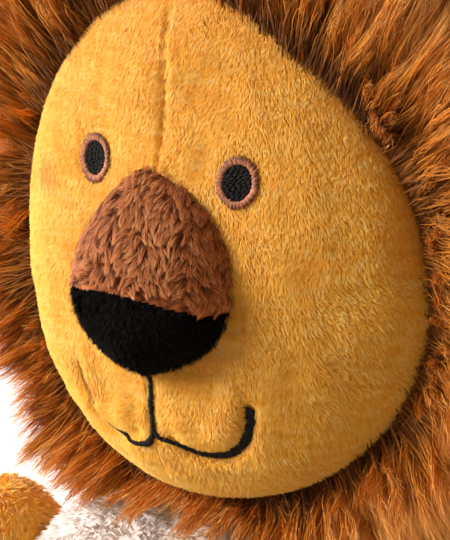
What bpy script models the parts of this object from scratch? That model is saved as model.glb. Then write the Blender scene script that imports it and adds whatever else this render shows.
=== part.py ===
"""Plush lion sitting upright: clipped-pile covers over stuffing, a long-pile mane, a padded nose.

Metres, +Z up. The origin is on the floor under the middle of the torso. The lion faces -Y and its
left side is towards +X. Every fabric cover is a shell that stays open at its seam to the next body,
and its stuffing is a piece of its own inside it.
"""

import math

import bmesh
import bpy
import numpy as np
from mathutils import Matrix, Vector

MM = 0.001  # metres in a millimetre
UP = Vector((0, 0, 1))
FRONT = Vector((0, -1, 0))
SIDES = {"left": 1, "right": -1}  # sign of X on each side of the lion

# Fabric and clearances
WALL = 1.6 * MM  # backing cloth with its clipped pile
GAP = 0.3 * MM  # between neighbouring pieces
FILL_GAP = 0.7 * MM  # between a cover and its stuffing
MERGE = 0.001 * MM
FLAT_CUT = 0.5 * MM  # how deep a soft form is pressed flat where it stands
OVERRUN = 60.0 * MM  # how far every cutter runs past what it cuts

# Torso
TORSO_HEIGHT = 178.0 * MM
BASE_RADIUS = 46.0 * MM
BASE_CURVE_RADIUS = 56.0 * MM
BASE_CURVE_Z = 7.0 * MM
HIP_RADIUS = 72.0 * MM
HIP_Z = 46.0 * MM
WAIST_RADIUS = 70.5 * MM
WAIST_SHARE = 0.56  # how far up from the hips to the shoulders
SHOULDER_RADIUS = 67.0 * MM
SHOULDER_DROP = 29.0 * MM  # below the torso's top
NECK_RADIUS = 16.0 * MM
NECK_FOOT_RADIUS = 19.5 * MM
NECK_FOOT_DROP = 5.5 * MM
TORSO_DEPTH_SHARE = 0.86  # front-to-back size over the width
TORSO_SIDES = 28
TORSO_RINGS = 11
BELLY_SEAM_Y = -8.0 * MM  # the side seams' plane, where the pale front panel meets the back
BASE_PANEL_THICKNESS = 2.0 * MM
POUCH_HEIGHT = 30.0 * MM
POUCH_RADIUS = 41.0 * MM
POUCH_EDGE = 9.0 * MM  # rounding of the pellet pouch

# Head: the face panel is a shallow dome that swells towards the chin
HEAD_Y = -23.0 * MM
HEAD_RISE = 52.0 * MM  # middle of the face above the torso's top
HEAD_Z = TORSO_HEIGHT + HEAD_RISE
FACE_HALF_WIDTH = 61.5 * MM
FACE_TOP = 61.3 * MM
FACE_BOTTOM = 55.8 * MM
FOREHEAD_PEAK_SHARE = 0.11  # how much higher the dart at its top draws the forehead
FOREHEAD_PEAK = 6  # exponent: how narrow that peak is
PEAK_ROUNDS = 20
FACE_DEPTH = 15.8 * MM
FACE_CURVE = 2.4  # exponent of the dome: 2 is an ellipse, more is flatter with a rounder edge
CHIN_SWELL_SHARE = 0.6
CHEEK_SWEEP = 8.2 * MM  # how far the rim runs back at the cheeks
FACE_TILT = math.radians(2.7)
BACK_DEPTH = 54.0 * MM
FACE_SIDES = 28
FACE_RINGS = 7
BACK_RINGS = 6

# Nose: a padded egg, brown above its middle line and black below
NOSE_HALF_WIDTH = 23.2 * MM
NOSE_Z = -1.0 * MM
NOSE_UP = 26.6 * MM
NOSE_DOWN = 19.5 * MM
NOSE_HEIGHT = 15.0 * MM  # how far it stands off the face
NOSE_POINT_SHARE = 1.36  # exponent that narrows it towards its top and bottom
NOSE_WALL = 1.2 * MM
NOSE_SIDES = 12
NOSE_RINGS = 5
NOSE_FOOT_SHARES = (0.97, 0.6, 0.0)
NOSE_SPLIT = math.radians(1.4)  # half of the seam between brown and black, as an angle at its rim

# Eyes and mouth, embroidered
EYE_X = 23.0 * MM
EYE_Z = 25.5 * MM
EYE_RING_RADIUS = 5.9 * MM
EYE_RING_BAND = 1.7 * MM
EYE_PUPIL_RADIUS = 3.8 * MM
STITCH_HEIGHT = 0.9 * MM
STITCH_BEVEL = 0.3 * MM
EYE_SIDES = 14
PHILTRUM_TOP = -21.3 * MM
PHILTRUM_BOTTOM = -35.4 * MM
PHILTRUM_BAND = 1.1 * MM
PHILTRUM_STEPS = 5
SMILE_X = 13.6 * MM  # centre of each half of the smile
SMILE_Z = -26.0 * MM
SMILE_RADIUS = 14.0 * MM
SMILE_CORNER_X = 0.95 * MM  # its inner end, beside the philtrum
SMILE_CORNER_Z = -36.0 * MM
SMILE_START = math.radians(233)
SMILE_END = math.radians(362)
SMILE_THIN = 1.0 * MM
SMILE_THICK = 2.1 * MM
SMILE_SWELL = 1.5  # exponent: the stitch thickens towards the cheek
SMILE_STEPS = 11

# Mane: a ring of pointed locks round the face and a shaggy cap behind it
MANE_REACH = 31.0 * MM  # pile length past the face's rim
MANE_CHIN_REACH = 17.5 * MM  # shorter below the chin, over the chest
MANE_FORWARD = 9.0 * MM
MANE_DROOP = 5.0 * MM
MANE_LOCKS = 20
LOCK_STEPS = 4
LOCK_DIP_SHARE = 0.30  # how deep the notches between the locks are
LOCK_POINT = 0.8  # exponent of a lock's sides: 1 is a straight point
CHIN_BLEND = 3  # exponent: how quickly the mane shortens towards the chin
MANE_RIM_SHARE = 0.985  # where it meets the face panel
MANE_INNER_SHARES = (0.95, 0.998)  # along the back of the head, inside it
MANE_SEAM_SHARE = 0.877  # where it ends on the back of the head
MANE_BACK_SHARE = 0.72  # how far its back edge reaches
MANE_SHARES = (  # of the reach outwards and of the forward swell, from the front edge over the tip
    (0.22, 0.85),
    (0.55, 1.0),
    (0.85, 0.55),
    (1.0, -0.3),
    (0.93, -1.5),
)
CROWN_THICKNESS = 24.0 * MM
CROWN_CHIN_THICKNESS = 13.0 * MM
CROWN_LOCKS = 14
CROWN_STEPS = 4
CROWN_RINGS = 4
CROWN_DIP_SHARE = 0.22
CROWN_LEAN = 4  # exponent: how quickly the pile turns outwards near the seam
CROWN_START_SHARE = 0.86  # how far out on the back of the head the cap begins
SKIN_GAP = 0.9 * MM  # mane to head

# Ears, sewn in the seam between the ring of locks and the cap
EAR_LEAN = math.radians(35)  # from straight up
EAR_HALF_WIDTH = 20.5 * MM
EAR_HALF_HEIGHT = 28.0 * MM
EAR_CUP = 5.0 * MM
EAR_THICKNESS = 3.2 * MM
EAR_LINING_SHARE = 0.74
EAR_LINING = 1.4 * MM
EAR_SIDES = 18
EAR_SHARES = (0, 0.6, 1.0)
EAR_BACK = 36.5 * MM  # behind the face's rim

# Neck
NECK_GAP = 0.4 * MM
HEAD_TURN_CLEARANCE = 0.7 * MM

# Arms: sausages that widen to the paw, pressed flat where they are sewn to the torso
ARM_SEAT_LEAN = math.radians(12)  # the seat's outward direction, above level
ARM_SEAT = 90.3 * MM  # distance of the seat's plane from the origin
ARM_Y = -21.0 * MM
ARM_DROP = 41.0 * MM  # middle of the shoulder's dome below the torso's top
ARM_Z = TORSO_HEIGHT - ARM_DROP
ARM_PRESS = 3.0 * MM  # how deep the arm is flattened on its seat
ARM_LENGTH = 98.0 * MM
ARM_RADIUS = 17.5 * MM
PAW_RADIUS = 20.5 * MM
ARM_FORWARD = math.radians(30)
ARM_OUT = math.radians(4)
ARM_SIDES = 16
ARM_RINGS = 10
ROOT_HOLE = 7.0 * MM  # radius of the opening inside each limb's seam

# Legs: stretched forward, with an upright foot
LEG_SEAT_TURN = math.radians(40)  # the seat's outward direction, forward of sideways
LEG_SEAT_DROP = math.radians(15)  # and below level
LEG_SEAT = 49.3 * MM
LEG_X = 42.0 * MM
LEG_FRONT_X = 46.0 * MM
LEG_ROOT_Y = -26.0 * MM
LEG_FRONT_Y = -163.0 * MM
LEG_ROOT_RADIUS = 23.0 * MM
ANKLE_RADIUS = 21.0 * MM
FOOT_HALF_WIDTH = 25.5 * MM
FOOT_HALF_HEIGHT = 32.0 * MM
FOOT_LENGTH = 38.0 * MM
FOOT_ROUND = 12.0 * MM  # rounding of the foot's front edge
FOOT_FLAT_SHARE = 0.78  # the flat front over the whole foot
LEG_ROOT_ROUND = 12.0 * MM
LEG_SIDES = 14
LEG_ROOT_STEPS = 2
LEG_STEPS = 3
FOOT_STEPS = 3
TOE_STEPS = 3
SOLE_SHARE = 0.73
SOLE_EDGE_SHARE = 0.9
SOLE_THICKNESS = 1.6 * MM

# Tail: lies on the floor behind, curving to the lion's left
TAIL_RADIUS = 8.0 * MM
TAIL_ROOT_Z = 30.0 * MM
TAIL_BACK = 52.0 * MM
TAIL_ASIDE = 62.0 * MM
TAIL_WALL = 1.4 * MM
TAIL_SIDES = 10
TAIL_ROOT_STEPS = 3
TAIL_RINGS = 8
TAIL_KNOT_SHARES = (  # shares of TAIL_ASIDE, TAIL_BACK and of the drop from the root to the floor
    (0.0, 0.0, 0.0),
    (0.0, 0.34, 0.55),
    (0.06, 0.72, 1.0),
    (0.40, 1.0, 1.0),
    (1.0, 0.98, 1.0),
)
TUFT_LENGTH = 46.0 * MM
TUFT_RADIUS = 15.0 * MM
TUFT_LOCKS = 6
TUFT_DIP_SHARE = 0.22
TUFT_RINGS = 7
TUFT_STEPS = 3
TUFT_FULL_SHARE = 0.45  # where the tuft is thickest
TUFT_TIP_RADIUS = 1.2 * MM
SLOPE_SHARE = 0.0004  # the small share of a surface, and the turn, over which its slope is read
SLOPE_TURN = 0.05
POLE_SHARE = 0.05  # and how near its pole
PATH_SHARE = 0.01

COLOURS = {  # linear RGB, roughness
    "golden_plush": ((0.80, 0.42, 0.10), 0.95),
    "pale_plush": ((0.84, 0.78, 0.74), 0.95),
    "mane_pile": ((0.36, 0.14, 0.03), 0.9),
    "brown_plush": ((0.23, 0.08, 0.03), 0.95),
    "black_plush": ((0.012, 0.010, 0.009), 0.9),
    "copper_thread": ((0.30, 0.09, 0.03), 0.5),
    "black_thread": ((0.02, 0.02, 0.02), 0.45),
    "stuffing": ((0.86, 0.86, 0.84), 1.0),
    "pellets": ((0.70, 0.70, 0.72), 0.7),
}


def fresh_scene():
    """Removes what the scene holds and returns the collections for the parts and the cutters."""
    for old in list(bpy.data.objects):
        bpy.data.objects.remove(old, do_unlink=True)
    made = []
    for name in ("plush_lion", "cutters"):
        collection = bpy.data.collections.new(name)
        bpy.context.scene.collection.children.link(collection)
        made.append(collection)
    return made


PARTS, CUTTERS = fresh_scene()


def material(name):
    """The Principled material of this name, made the first time it is asked for."""
    if name in bpy.data.materials:
        return bpy.data.materials[name]
    colour, roughness = COLOURS[name]
    made = bpy.data.materials.new(name)
    made.use_nodes = True
    shader = made.node_tree.nodes["Principled BSDF"]
    shader.inputs["Base Color"].default_value = (*colour, 1)
    shader.inputs["Roughness"].default_value = roughness
    shader.inputs["Metallic"].default_value = 0
    return made


# Mesh helpers


def add(name, mesh, slot, collection=None):
    obj = bpy.data.objects.new(name, mesh)
    (collection or PARTS).objects.link(obj)
    if slot:
        mesh.materials.clear()
        mesh.materials.append(material(slot))
    mesh.shade_smooth()
    return obj


def hide(obj):
    """Makes the object a cutter: never rendered, drawn as wire."""
    obj.hide_render = True
    obj.display_type = "WIRE"
    return obj


def grid(name, rows, slot, around=True, ends="open", collection=None):
    """Quads between rows of points. ends: open, or fan, which closes the first and last row."""
    mesh = bpy.data.meshes.new(name)
    work = bmesh.new()
    points = [[work.verts.new(point) for point in row] for row in rows]
    count = len(rows[0])
    for upper, lower in zip(points, points[1:]):
        for i in range(count if around else count - 1):
            j = (i + 1) % count
            work.faces.new((upper[i], lower[i], lower[j], upper[j]))
    if ends == "fan":
        for row, turn in ((points[0], 1), (points[-1], -1)):
            middle = work.verts.new(sum((v.co for v in row), Vector()) / count)
            for i in range(count):
                corner = (row[i], row[(i + 1) % count], middle)
                work.faces.new(corner[::turn])
    bmesh.ops.remove_doubles(work, verts=work.verts, dist=MERGE)
    work.to_mesh(mesh)
    work.free()
    return add(name, mesh, slot, collection)


def triangulated(obj):
    """Splits the faces the same way for a shell and for what fills it."""
    work = bmesh.new()
    work.from_mesh(obj.data)
    bmesh.ops.triangulate(work, faces=work.faces, quad_method="FIXED")
    work.to_mesh(obj.data)
    work.free()
    return obj


def face_out(obj):
    """Turns the faces of a closed mesh outwards."""
    work = bmesh.new()
    work.from_mesh(obj.data)
    bmesh.ops.recalc_face_normals(work, faces=work.faces)
    if work.calc_volume(signed=True) < 0:
        bmesh.ops.reverse_faces(work, faces=work.faces)
    work.to_mesh(obj.data)
    work.free()
    return obj


def applied(obj):
    """The object with its modifiers made part of its mesh."""
    graph = bpy.context.evaluated_depsgraph_get()
    mesh = bpy.data.meshes.new_from_object(obj.evaluated_get(graph))
    obj.modifiers.clear()
    obj.data = mesh
    return obj


def turned(name, profile, slot, sides):
    """A profile of (radius, height), top to bottom, turned about Z."""
    mesh = bpy.data.meshes.new(name)
    points = [(r, 0, z) for r, z in profile]
    mesh.from_pydata(points, [(i, i + 1) for i in range(len(points) - 1)], [])
    obj = add(name, mesh, slot)
    screw = obj.modifiers.new("Turn", "SCREW")
    screw.steps = screw.render_steps = sides
    screw.use_merge_vertices = True
    screw.merge_threshold = MERGE
    applied(obj)
    work = bmesh.new()
    work.from_mesh(obj.data)
    bmesh.ops.remove_doubles(work, verts=work.verts, dist=MERGE)
    work.to_mesh(obj.data)
    work.free()
    return obj


def reshaped(obj, place):
    """Moves every point of the object's mesh to place(point)."""
    for vertex in obj.data.vertices:
        vertex.co = place(vertex.co)
    return obj


def shelled(obj, wall):
    """Gives an open surface its wall, inwards."""
    skin = obj.modifiers.new("Wall", "SOLIDIFY")
    skin.thickness = wall
    skin.offset = -1
    return face_out(applied(obj))


def filling(name, surface, depth):
    """A closed solid under an open surface, depth below it, with its open rims closed flat."""
    work = bmesh.new()
    work.from_mesh(surface.data)
    work.normal_update()
    moved = [(vertex, vertex.co - vertex.normal * depth) for vertex in work.verts]
    for vertex, point in moved:
        vertex.co = point
    rims = [edge for edge in work.edges if edge.is_boundary]
    if rims:
        bmesh.ops.holes_fill(work, edges=rims, sides=0)
        bmesh.ops.triangulate(work, faces=work.faces)
    mesh = bpy.data.meshes.new(name)
    work.to_mesh(mesh)
    work.free()
    return face_out(add(name, mesh, "stuffing"))


def cut(obj, *cutters):
    """Cuts the object with each cutter."""
    for cutter in cutters:
        step = obj.modifiers.new("Cut", "BOOLEAN")
        step.operation = "DIFFERENCE"
        step.object = cutter
    return applied(obj)


def rod(name, point, axis, radius, length):
    """A round cutter centred on a point."""
    mesh = bpy.data.meshes.new(name)
    work = bmesh.new()
    bmesh.ops.create_cone(
        work, cap_ends=True, segments=16, radius1=radius, radius2=radius, depth=length
    )
    aim = UP.rotation_difference(axis).to_matrix().to_4x4()
    work.transform(Matrix.Translation(point) @ aim)
    work.to_mesh(mesh)
    work.free()
    return hide(add(name, mesh, None, CUTTERS))


def block(name, low, high):
    """A square cutter between two corners."""
    mesh = bpy.data.meshes.new(name)
    work = bmesh.new()
    bmesh.ops.create_cube(work, size=1)
    middle = (Vector(low) + Vector(high)) / 2
    size = Vector(high) - Vector(low)
    work.transform(Matrix.Translation(middle) @ Matrix.Diagonal((*size, 1)))
    work.to_mesh(mesh)
    work.free()
    return hide(add(name, mesh, None, CUTTERS))


def mirrored(obj, name):
    """The same piece on the lion's other side."""
    mesh = obj.data.copy()
    mesh.transform(Matrix.Scale(-1, 4, Vector((1, 0, 0))))
    mesh.flip_normals()
    mirror = bpy.data.objects.new(name, mesh)
    obj.users_collection[0].objects.link(mirror)
    return mirror


def spread(count, end=1.0):
    """count + 1 shares from 0 to end, close together near the end, where a dome curves most."""
    return [end * math.sin(i / count * math.pi / 2) for i in range(count + 1)]


def angles(count, start=0.0, sweep=math.tau, closed=True):
    return [start + sweep * i / count for i in range(count if closed else count + 1)]


def smooth_through(knots, at):
    """Height and radius on a smooth curve through the knots, at a share from 0 to 1."""
    place = at * (len(knots) - 1)
    i = min(int(place), len(knots) - 2)
    t = place - i
    before, first, last, after = (
        Vector(knots[min(max(j, 0), len(knots) - 1)]) for j in (i - 1, i, i + 1, i + 2)
    )
    return (
        first * 2
        + (last - before) * t
        + (before * 2 - first * 5 + last * 4 - after) * t * t
        + (first * 3 - before - last * 3 + after) * t * t * t
    ) / 2


# Seats: the planes on which the limbs are sewn. The torso stays inside them, the limb outside


def arm_seat(side):
    return Vector((side * math.cos(ARM_SEAT_LEAN), 0, math.sin(ARM_SEAT_LEAN)))


def leg_seat(side):
    level = math.cos(LEG_SEAT_DROP)
    return Vector(
        (
            side * math.cos(LEG_SEAT_TURN) * level,
            -math.sin(LEG_SEAT_TURN) * level,
            -math.sin(LEG_SEAT_DROP),
        )
    )


SEATS = [(arm_seat(side), ARM_SEAT) for side in SIDES.values()]
SEATS += [(leg_seat(side), LEG_SEAT) for side in SIDES.values()]


def pressed_in(point):
    """Flattens what stands out past the limbs' seats."""
    for out, reach in SEATS:
        past = point.dot(out) - (reach - GAP)
        if past > 0:
            point = point - out * past
    return point


def pressed_out(point, out, reach):
    """Flattens a limb on its seat."""
    short = reach - point.dot(out)
    return point + out * short if short > 0 else point


def floored(point):
    return Vector((point.x, point.y, max(point.z, 0)))


# Torso

SHOULDER_Z = TORSO_HEIGHT - SHOULDER_DROP
TORSO_KNOTS = [
    (NECK_RADIUS, TORSO_HEIGHT),
    (NECK_FOOT_RADIUS, TORSO_HEIGHT - NECK_FOOT_DROP),
    (SHOULDER_RADIUS, SHOULDER_Z),
    (WAIST_RADIUS, HIP_Z + (SHOULDER_Z - HIP_Z) * WAIST_SHARE),
    (HIP_RADIUS, HIP_Z),
    (BASE_CURVE_RADIUS, BASE_CURVE_Z),
    (BASE_RADIUS, 0.0),
]


def torso_profile():
    """Radius and height, from the neck down to the base."""
    curve = [smooth_through(TORSO_KNOTS, i / TORSO_RINGS) for i in range(TORSO_RINGS + 1)]
    return [(r, min(max(z, 0.0), TORSO_HEIGHT)) for r, z in curve]


def torso_radius(height):
    """Half of the torso's width at a height."""
    heights, radii = zip(*[(z, r) for r, z in reversed(torso_profile())])
    return float(np.interp(height, heights, radii))


def torso_skin(name, slot):
    """The torso's open surface, flattened on the limbs' seats."""
    skin = turned(name, torso_profile(), slot, TORSO_SIDES)
    reshaped(skin, lambda p: pressed_in(Vector((p.x, p.y * TORSO_DEPTH_SHARE, p.z))))
    return triangulated(skin)


def make_torso():
    whole = torso_skin("body_stuffing", "stuffing")
    stuffing = filling("body_stuffing_solid", whole, WALL + FILL_GAP)
    bpy.data.objects.remove(whole)
    stuffing.name = "body_stuffing"
    belly = shelled(torso_skin("belly_panel", "pale_plush"), WALL)
    back = shelled(torso_skin("body_cover", "golden_plush"), WALL)
    wide = HIP_RADIUS + OVERRUN
    tall = TORSO_HEIGHT + OVERRUN
    cut(belly, block("behind_side_seam", (-wide, BELLY_SEAM_Y - GAP / 2, -OVERRUN), (wide, wide, tall)))
    cut(back, block("before_side_seam", (-wide, -wide, -OVERRUN), (wide, BELLY_SEAM_Y + GAP / 2, tall)))
    base = turned(
        "base_panel",
        [
            (0, BASE_PANEL_THICKNESS),
            (BASE_RADIUS - WALL - FILL_GAP, BASE_PANEL_THICKNESS),
            (BASE_RADIUS - WALL - FILL_GAP, 0),
            (0, 0),
        ],
        "golden_plush",
        TORSO_SIDES,
    )
    reshaped(base, lambda p: Vector((p.x, p.y * TORSO_DEPTH_SHARE, p.z)))
    pouch_low = BASE_PANEL_THICKNESS + GAP
    pouch_high = pouch_low + POUCH_HEIGHT
    pouch_side = [
        (
            POUCH_RADIUS - POUCH_EDGE * (1 - math.sin(turn)),
            pouch_high - POUCH_EDGE * (1 - math.cos(turn)),
        )
        for turn in angles(4, 0, math.pi / 2, closed=False)
    ]
    lower_side = [(r, pouch_low + pouch_high - z) for r, z in reversed(pouch_side)]
    profile = [(0, pouch_high)] + pouch_side + lower_side + [(0, pouch_low)]
    pouch = turned("pellet_pouch", profile, "pellets", TORSO_SIDES // 2)
    reshaped(pouch, lambda p: Vector((p.x, p.y * TORSO_DEPTH_SHARE, p.z)))
    for piece in (base, pouch):
        face_out(piece)
    below = block(
        "stuffing_floor",
        (-HIP_RADIUS - OVERRUN, -HIP_RADIUS - OVERRUN, -OVERRUN),
        (HIP_RADIUS + OVERRUN, HIP_RADIUS + OVERRUN, pouch_high + GAP),
    )
    above = block(
        "stuffing_top",
        (-HIP_RADIUS, -HIP_RADIUS, TORSO_HEIGHT),
        (HIP_RADIUS, HIP_RADIUS, TORSO_HEIGHT + OVERRUN),
    )
    cut(stuffing, below, above)
    cut(back, above)
    cut(belly, above)
    return [back, belly, base, stuffing, pouch]


# Head


def rim_reach(turn):
    """How far above or below its middle the face's rim would be at this turn, over the turn's sine."""
    if math.sin(turn) <= 0:
        return FACE_BOTTOM
    return FACE_TOP * (1 + FOREHEAD_PEAK_SHARE * math.sin(turn) ** FOREHEAD_PEAK)


def face_at(x, z, lift=0.0):
    """The face panel's surface at a sideways and an upward distance from the face's middle."""
    aside, reach = x / FACE_HALF_WIDTH, FACE_BOTTOM
    for _ in range(PEAK_ROUNDS if z > 0 else 0):
        reach = rim_reach(math.atan2(z / reach, aside))
    out = min(math.hypot(aside, z / reach), 1.0)
    swell = 1 - CHIN_SWELL_SHARE * z / FACE_TOP
    dome = FACE_DEPTH * (1 - out**FACE_CURVE) ** (1 / FACE_CURVE) * swell
    y = CHEEK_SWEEP * aside * aside - dome - lift
    cos, sin = math.cos(FACE_TILT), math.sin(FACE_TILT)
    return Vector((x, y * cos - z * sin + HEAD_Y, y * sin + z * cos + HEAD_Z))


def face_surface(share, turn):
    return face_at(FACE_HALF_WIDTH * share * math.cos(turn), rim_reach(turn) * share * math.sin(turn))


def back_surface(share, turn):
    """The back of the head, from its pole to the face's rim."""
    rim = face_surface(1.0, turn)
    middle = Vector((0, HEAD_Y, HEAD_Z))
    back = BACK_DEPTH * math.sqrt(max(1 - share * share, 0)) + GAP
    return middle + (rim - middle) * share + Vector((0, back, 0))


def lifted(surface, share, turn, lift):
    """A point lift above the surface, along its outward direction."""
    aim = turn if share else 0  # the pole has one direction
    inner = min(max(share, POLE_SHARE), 1 - SLOPE_SHARE)
    along = surface(inner + SLOPE_SHARE, aim) - surface(inner, aim)
    around = surface(inner, aim + SLOPE_TURN) - surface(inner, aim - SLOPE_TURN)
    out = along.cross(around).normalized()
    point = surface(share, turn)
    if out.dot(point - Vector((0, HEAD_Y + BACK_DEPTH / 4, HEAD_Z))) < 0:
        out = -out
    return point + out * lift


def neck_cutter(name, clearance, top):
    """What the head and mane leave free for the torso, all the way round the neck's axis."""
    profile = [(r + clearance, z) for r, z in torso_profile() if z < TORSO_HEIGHT - GAP]
    profile = [(0, top), (NECK_RADIUS + clearance, top)] + profile
    profile += [(profile[-1][0], -OVERRUN), (0, -OVERRUN)]
    cutter = turned(name, profile, None, TORSO_SIDES)
    PARTS.objects.unlink(cutter)
    CUTTERS.objects.link(cutter)
    return hide(face_out(cutter))


def head_rows(surface, rings, depth):
    """Rows of points from the pole to the rim, depth below the surface."""
    turns = angles(FACE_SIDES, math.pi / 2)
    return [[lifted(surface, s, a, -depth) for a in turns] for s in spread(rings)]


def make_head():
    deep = WALL + FILL_GAP
    pieces = []
    for name, surface, rings, slot in (
        ("face_panel", face_surface, FACE_RINGS, "golden_plush"),
        ("head_back_cover", back_surface, BACK_RINGS, "mane_pile"),
    ):
        rows = head_rows(surface, rings, 0.0) + head_rows(surface, rings, WALL)[::-1]
        pieces.append(face_out(grid(name, rows, slot)))
    rows = head_rows(face_surface, FACE_RINGS, deep) + head_rows(back_surface, BACK_RINGS, deep)[::-1]
    stuffing = face_out(grid("head_stuffing", rows, "stuffing"))
    neck = neck_cutter("neck_room", HEAD_TURN_CLEARANCE, TORSO_HEIGHT + NECK_GAP)
    cut(pieces[1], neck)
    cut(stuffing, neck)
    return pieces + [stuffing], neck


# Nose


def nose_surface(share, turn, inset=0.0, flat=False):
    """The nose's pad over the face. inset shrinks it all round, flat is its foot on the face."""
    reach = NOSE_UP if math.sin(turn) > 0 else NOSE_DOWN
    narrow = math.copysign(abs(math.cos(turn)) ** NOSE_POINT_SHARE, math.cos(turn))
    x = (NOSE_HALF_WIDTH - inset) * share * narrow
    z = NOSE_Z + (reach - inset) * share * math.sin(turn)
    height = 0 if flat else (NOSE_HEIGHT - inset) * math.sqrt(max(1 - share * share, 0))
    return face_at(x, z, GAP + height)


def make_nose():
    pieces = []
    for name, slot, start in (("nose_bridge", "brown_plush", 0), ("nose_tip", "black_plush", math.pi)):
        turns = angles(NOSE_SIDES, start + NOSE_SPLIT, math.pi - 2 * NOSE_SPLIT, closed=False)
        split = Vector((0, 0, GAP / 2 if start == 0 else -GAP / 2))
        outer = [[nose_surface(s, a) + split for a in turns] for s in spread(NOSE_RINGS)]
        inner = [[nose_surface(s, a, NOSE_WALL) + split for a in turns] for s in spread(NOSE_RINGS)]
        pieces.append(thick_sheet(name, outer, inner, slot))
    turns = angles(2 * NOSE_SIDES)
    deep = NOSE_WALL + FILL_GAP
    rows = [[nose_surface(s, a, deep) for a in turns] for s in spread(NOSE_RINGS)[:-1]]
    rows += [[nose_surface(s, a, deep, flat=True) for a in turns] for s in NOSE_FOOT_SHARES]
    pieces.append(face_out(grid("nose_stuffing", rows, "stuffing")))
    return pieces


def thick_sheet(name, outer, inner, slot):
    """A wall between two sheets of points with the same layout, closed along its edges."""
    mesh = bpy.data.meshes.new(name)
    work = bmesh.new()
    sheets = [[[work.verts.new(p) for p in row] for row in rows] for rows in (outer, inner)]
    count, steps = len(outer), len(outer[0])
    for rows in sheets:
        for upper, lower in zip(rows, rows[1:]):
            for i in range(steps - 1):
                work.faces.new((upper[i], lower[i], lower[i + 1], upper[i + 1]))
    front, behind = sheets
    for i in range(steps - 1):
        work.faces.new((front[-1][i], behind[-1][i], behind[-1][i + 1], front[-1][i + 1]))
    for j in range(count - 1):
        for end in (0, -1):
            work.faces.new((front[j][end], front[j + 1][end], behind[j + 1][end], behind[j][end]))
    bmesh.ops.remove_doubles(work, verts=work.verts, dist=MERGE)
    work.to_mesh(mesh)
    work.free()
    return face_out(add(name, mesh, slot))


# Embroidery


def eye_piece(name, side, inner, outer, slot):
    """A raised disc, or a ring where inner isn't zero, that follows the face."""

    def ring(radius, lift):
        return [
            face_at(side * EYE_X + radius * math.cos(a), EYE_Z + radius * math.sin(a), lift)
            for a in angles(EYE_SIDES)
        ]

    crown = GAP + STITCH_HEIGHT
    rows = [
        ring(inner, GAP),
        ring(outer, GAP),
        ring(outer, crown - STITCH_BEVEL),
        ring(outer - STITCH_BEVEL, crown),
    ]
    if inner:
        rows += [ring(inner + STITCH_BEVEL, crown), ring(inner, crown - STITCH_BEVEL), ring(inner, GAP)]
    else:
        rows += [ring(0, crown)]
    return face_out(grid(name, rows, slot))


def stitched_line(name, path, widths, slot):
    """A raised line of satin stitch along a path of (x, z) on the face."""
    rows = []
    for i, ((x, z), width) in enumerate(zip(path, widths)):
        before, after = path[max(i - 1, 0)], path[min(i + 1, len(path) - 1)]
        along = Vector((after[0] - before[0], after[1] - before[1])).normalized()
        across = Vector((-along.y, along.x))
        low, high = GAP, GAP + STITCH_HEIGHT
        half, side = width / 2, high - STITCH_BEVEL
        top = half - STITCH_BEVEL
        profile = ((-half, low), (-half, side), (-top, high), (top, high), (half, side), (half, low))
        rows.append([face_at(x + across.x * w, z + across.y * w, lift) for w, lift in profile])
    return face_out(grid(name, rows, slot, ends="fan"))


def make_embroidery():
    pieces = []
    for word, side in SIDES.items():
        inner = EYE_RING_RADIUS - EYE_RING_BAND
        pieces.append(eye_piece(f"eye_ring_{word}", side, inner, EYE_RING_RADIUS, "copper_thread"))
        pieces.append(eye_piece(f"eye_pupil_{word}", side, 0, EYE_PUPIL_RADIUS, "black_thread"))
        path = [(side * SMILE_CORNER_X, SMILE_CORNER_Z)]
        for turn in angles(SMILE_STEPS, SMILE_START, SMILE_END - SMILE_START, closed=False):
            x = SMILE_X + SMILE_RADIUS * math.cos(turn)
            path.append((side * x, SMILE_Z + SMILE_RADIUS * math.sin(turn)))
        swell = [(i / (len(path) - 1)) ** SMILE_SWELL for i in range(len(path))]
        widths = [SMILE_THIN + (SMILE_THICK - SMILE_THIN) * share for share in swell]
        pieces.append(stitched_line(f"smile_{word}", path, widths, "black_thread"))
    drop = (PHILTRUM_BOTTOM - PHILTRUM_TOP) / PHILTRUM_STEPS
    path = [(0, PHILTRUM_TOP + drop * i) for i in range(PHILTRUM_STEPS + 1)]
    pieces.append(stitched_line("philtrum", path, [PHILTRUM_BAND] * len(path), "black_thread"))
    return pieces


# Mane


def lock_height(turn, locks):
    """1 at the tip of a lock and 0 in the notch beside it."""
    part = (turn * locks / math.tau) % 1.0
    return (1 - abs(2 * part - 1)) ** LOCK_POINT


def chin_share(turn):
    """0 over the crown and 1 straight below the chin."""
    return max(-math.sin(turn), 0) ** CHIN_BLEND


def away(point):
    """The direction from the head's axis, front to back, to a point."""
    out = point - Vector((0, HEAD_Y, HEAD_Z))
    out.y = 0
    return out.normalized()


def mane_section(turn):
    """One section of the ring of locks, round its outline from the face's rim and back to it."""
    tip = 1 - LOCK_DIP_SHARE * (1 - lock_height(turn, MANE_LOCKS))
    chin = chin_share(turn)
    reach = (MANE_REACH + (MANE_CHIN_REACH - MANE_REACH) * chin) * tip
    rim = lifted(face_surface, MANE_RIM_SHARE, turn, SKIN_GAP)
    out = away(rim)
    outline = []
    for far, forward in MANE_SHARES:
        droop = Vector((0, 0, -MANE_DROOP * far * far * (1 - chin)))
        outline.append(rim + out * (reach * far) + FRONT * (MANE_FORWARD * forward * tip) + droop)
    behind = lifted(back_surface, MANE_SEAM_SHARE, turn, SKIN_GAP)
    outline += [behind + out * (reach * MANE_BACK_SHARE), behind]
    outline += [lifted(back_surface, share, turn, SKIN_GAP + GAP) for share in MANE_INNER_SHARES]
    return outline + [rim]


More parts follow.
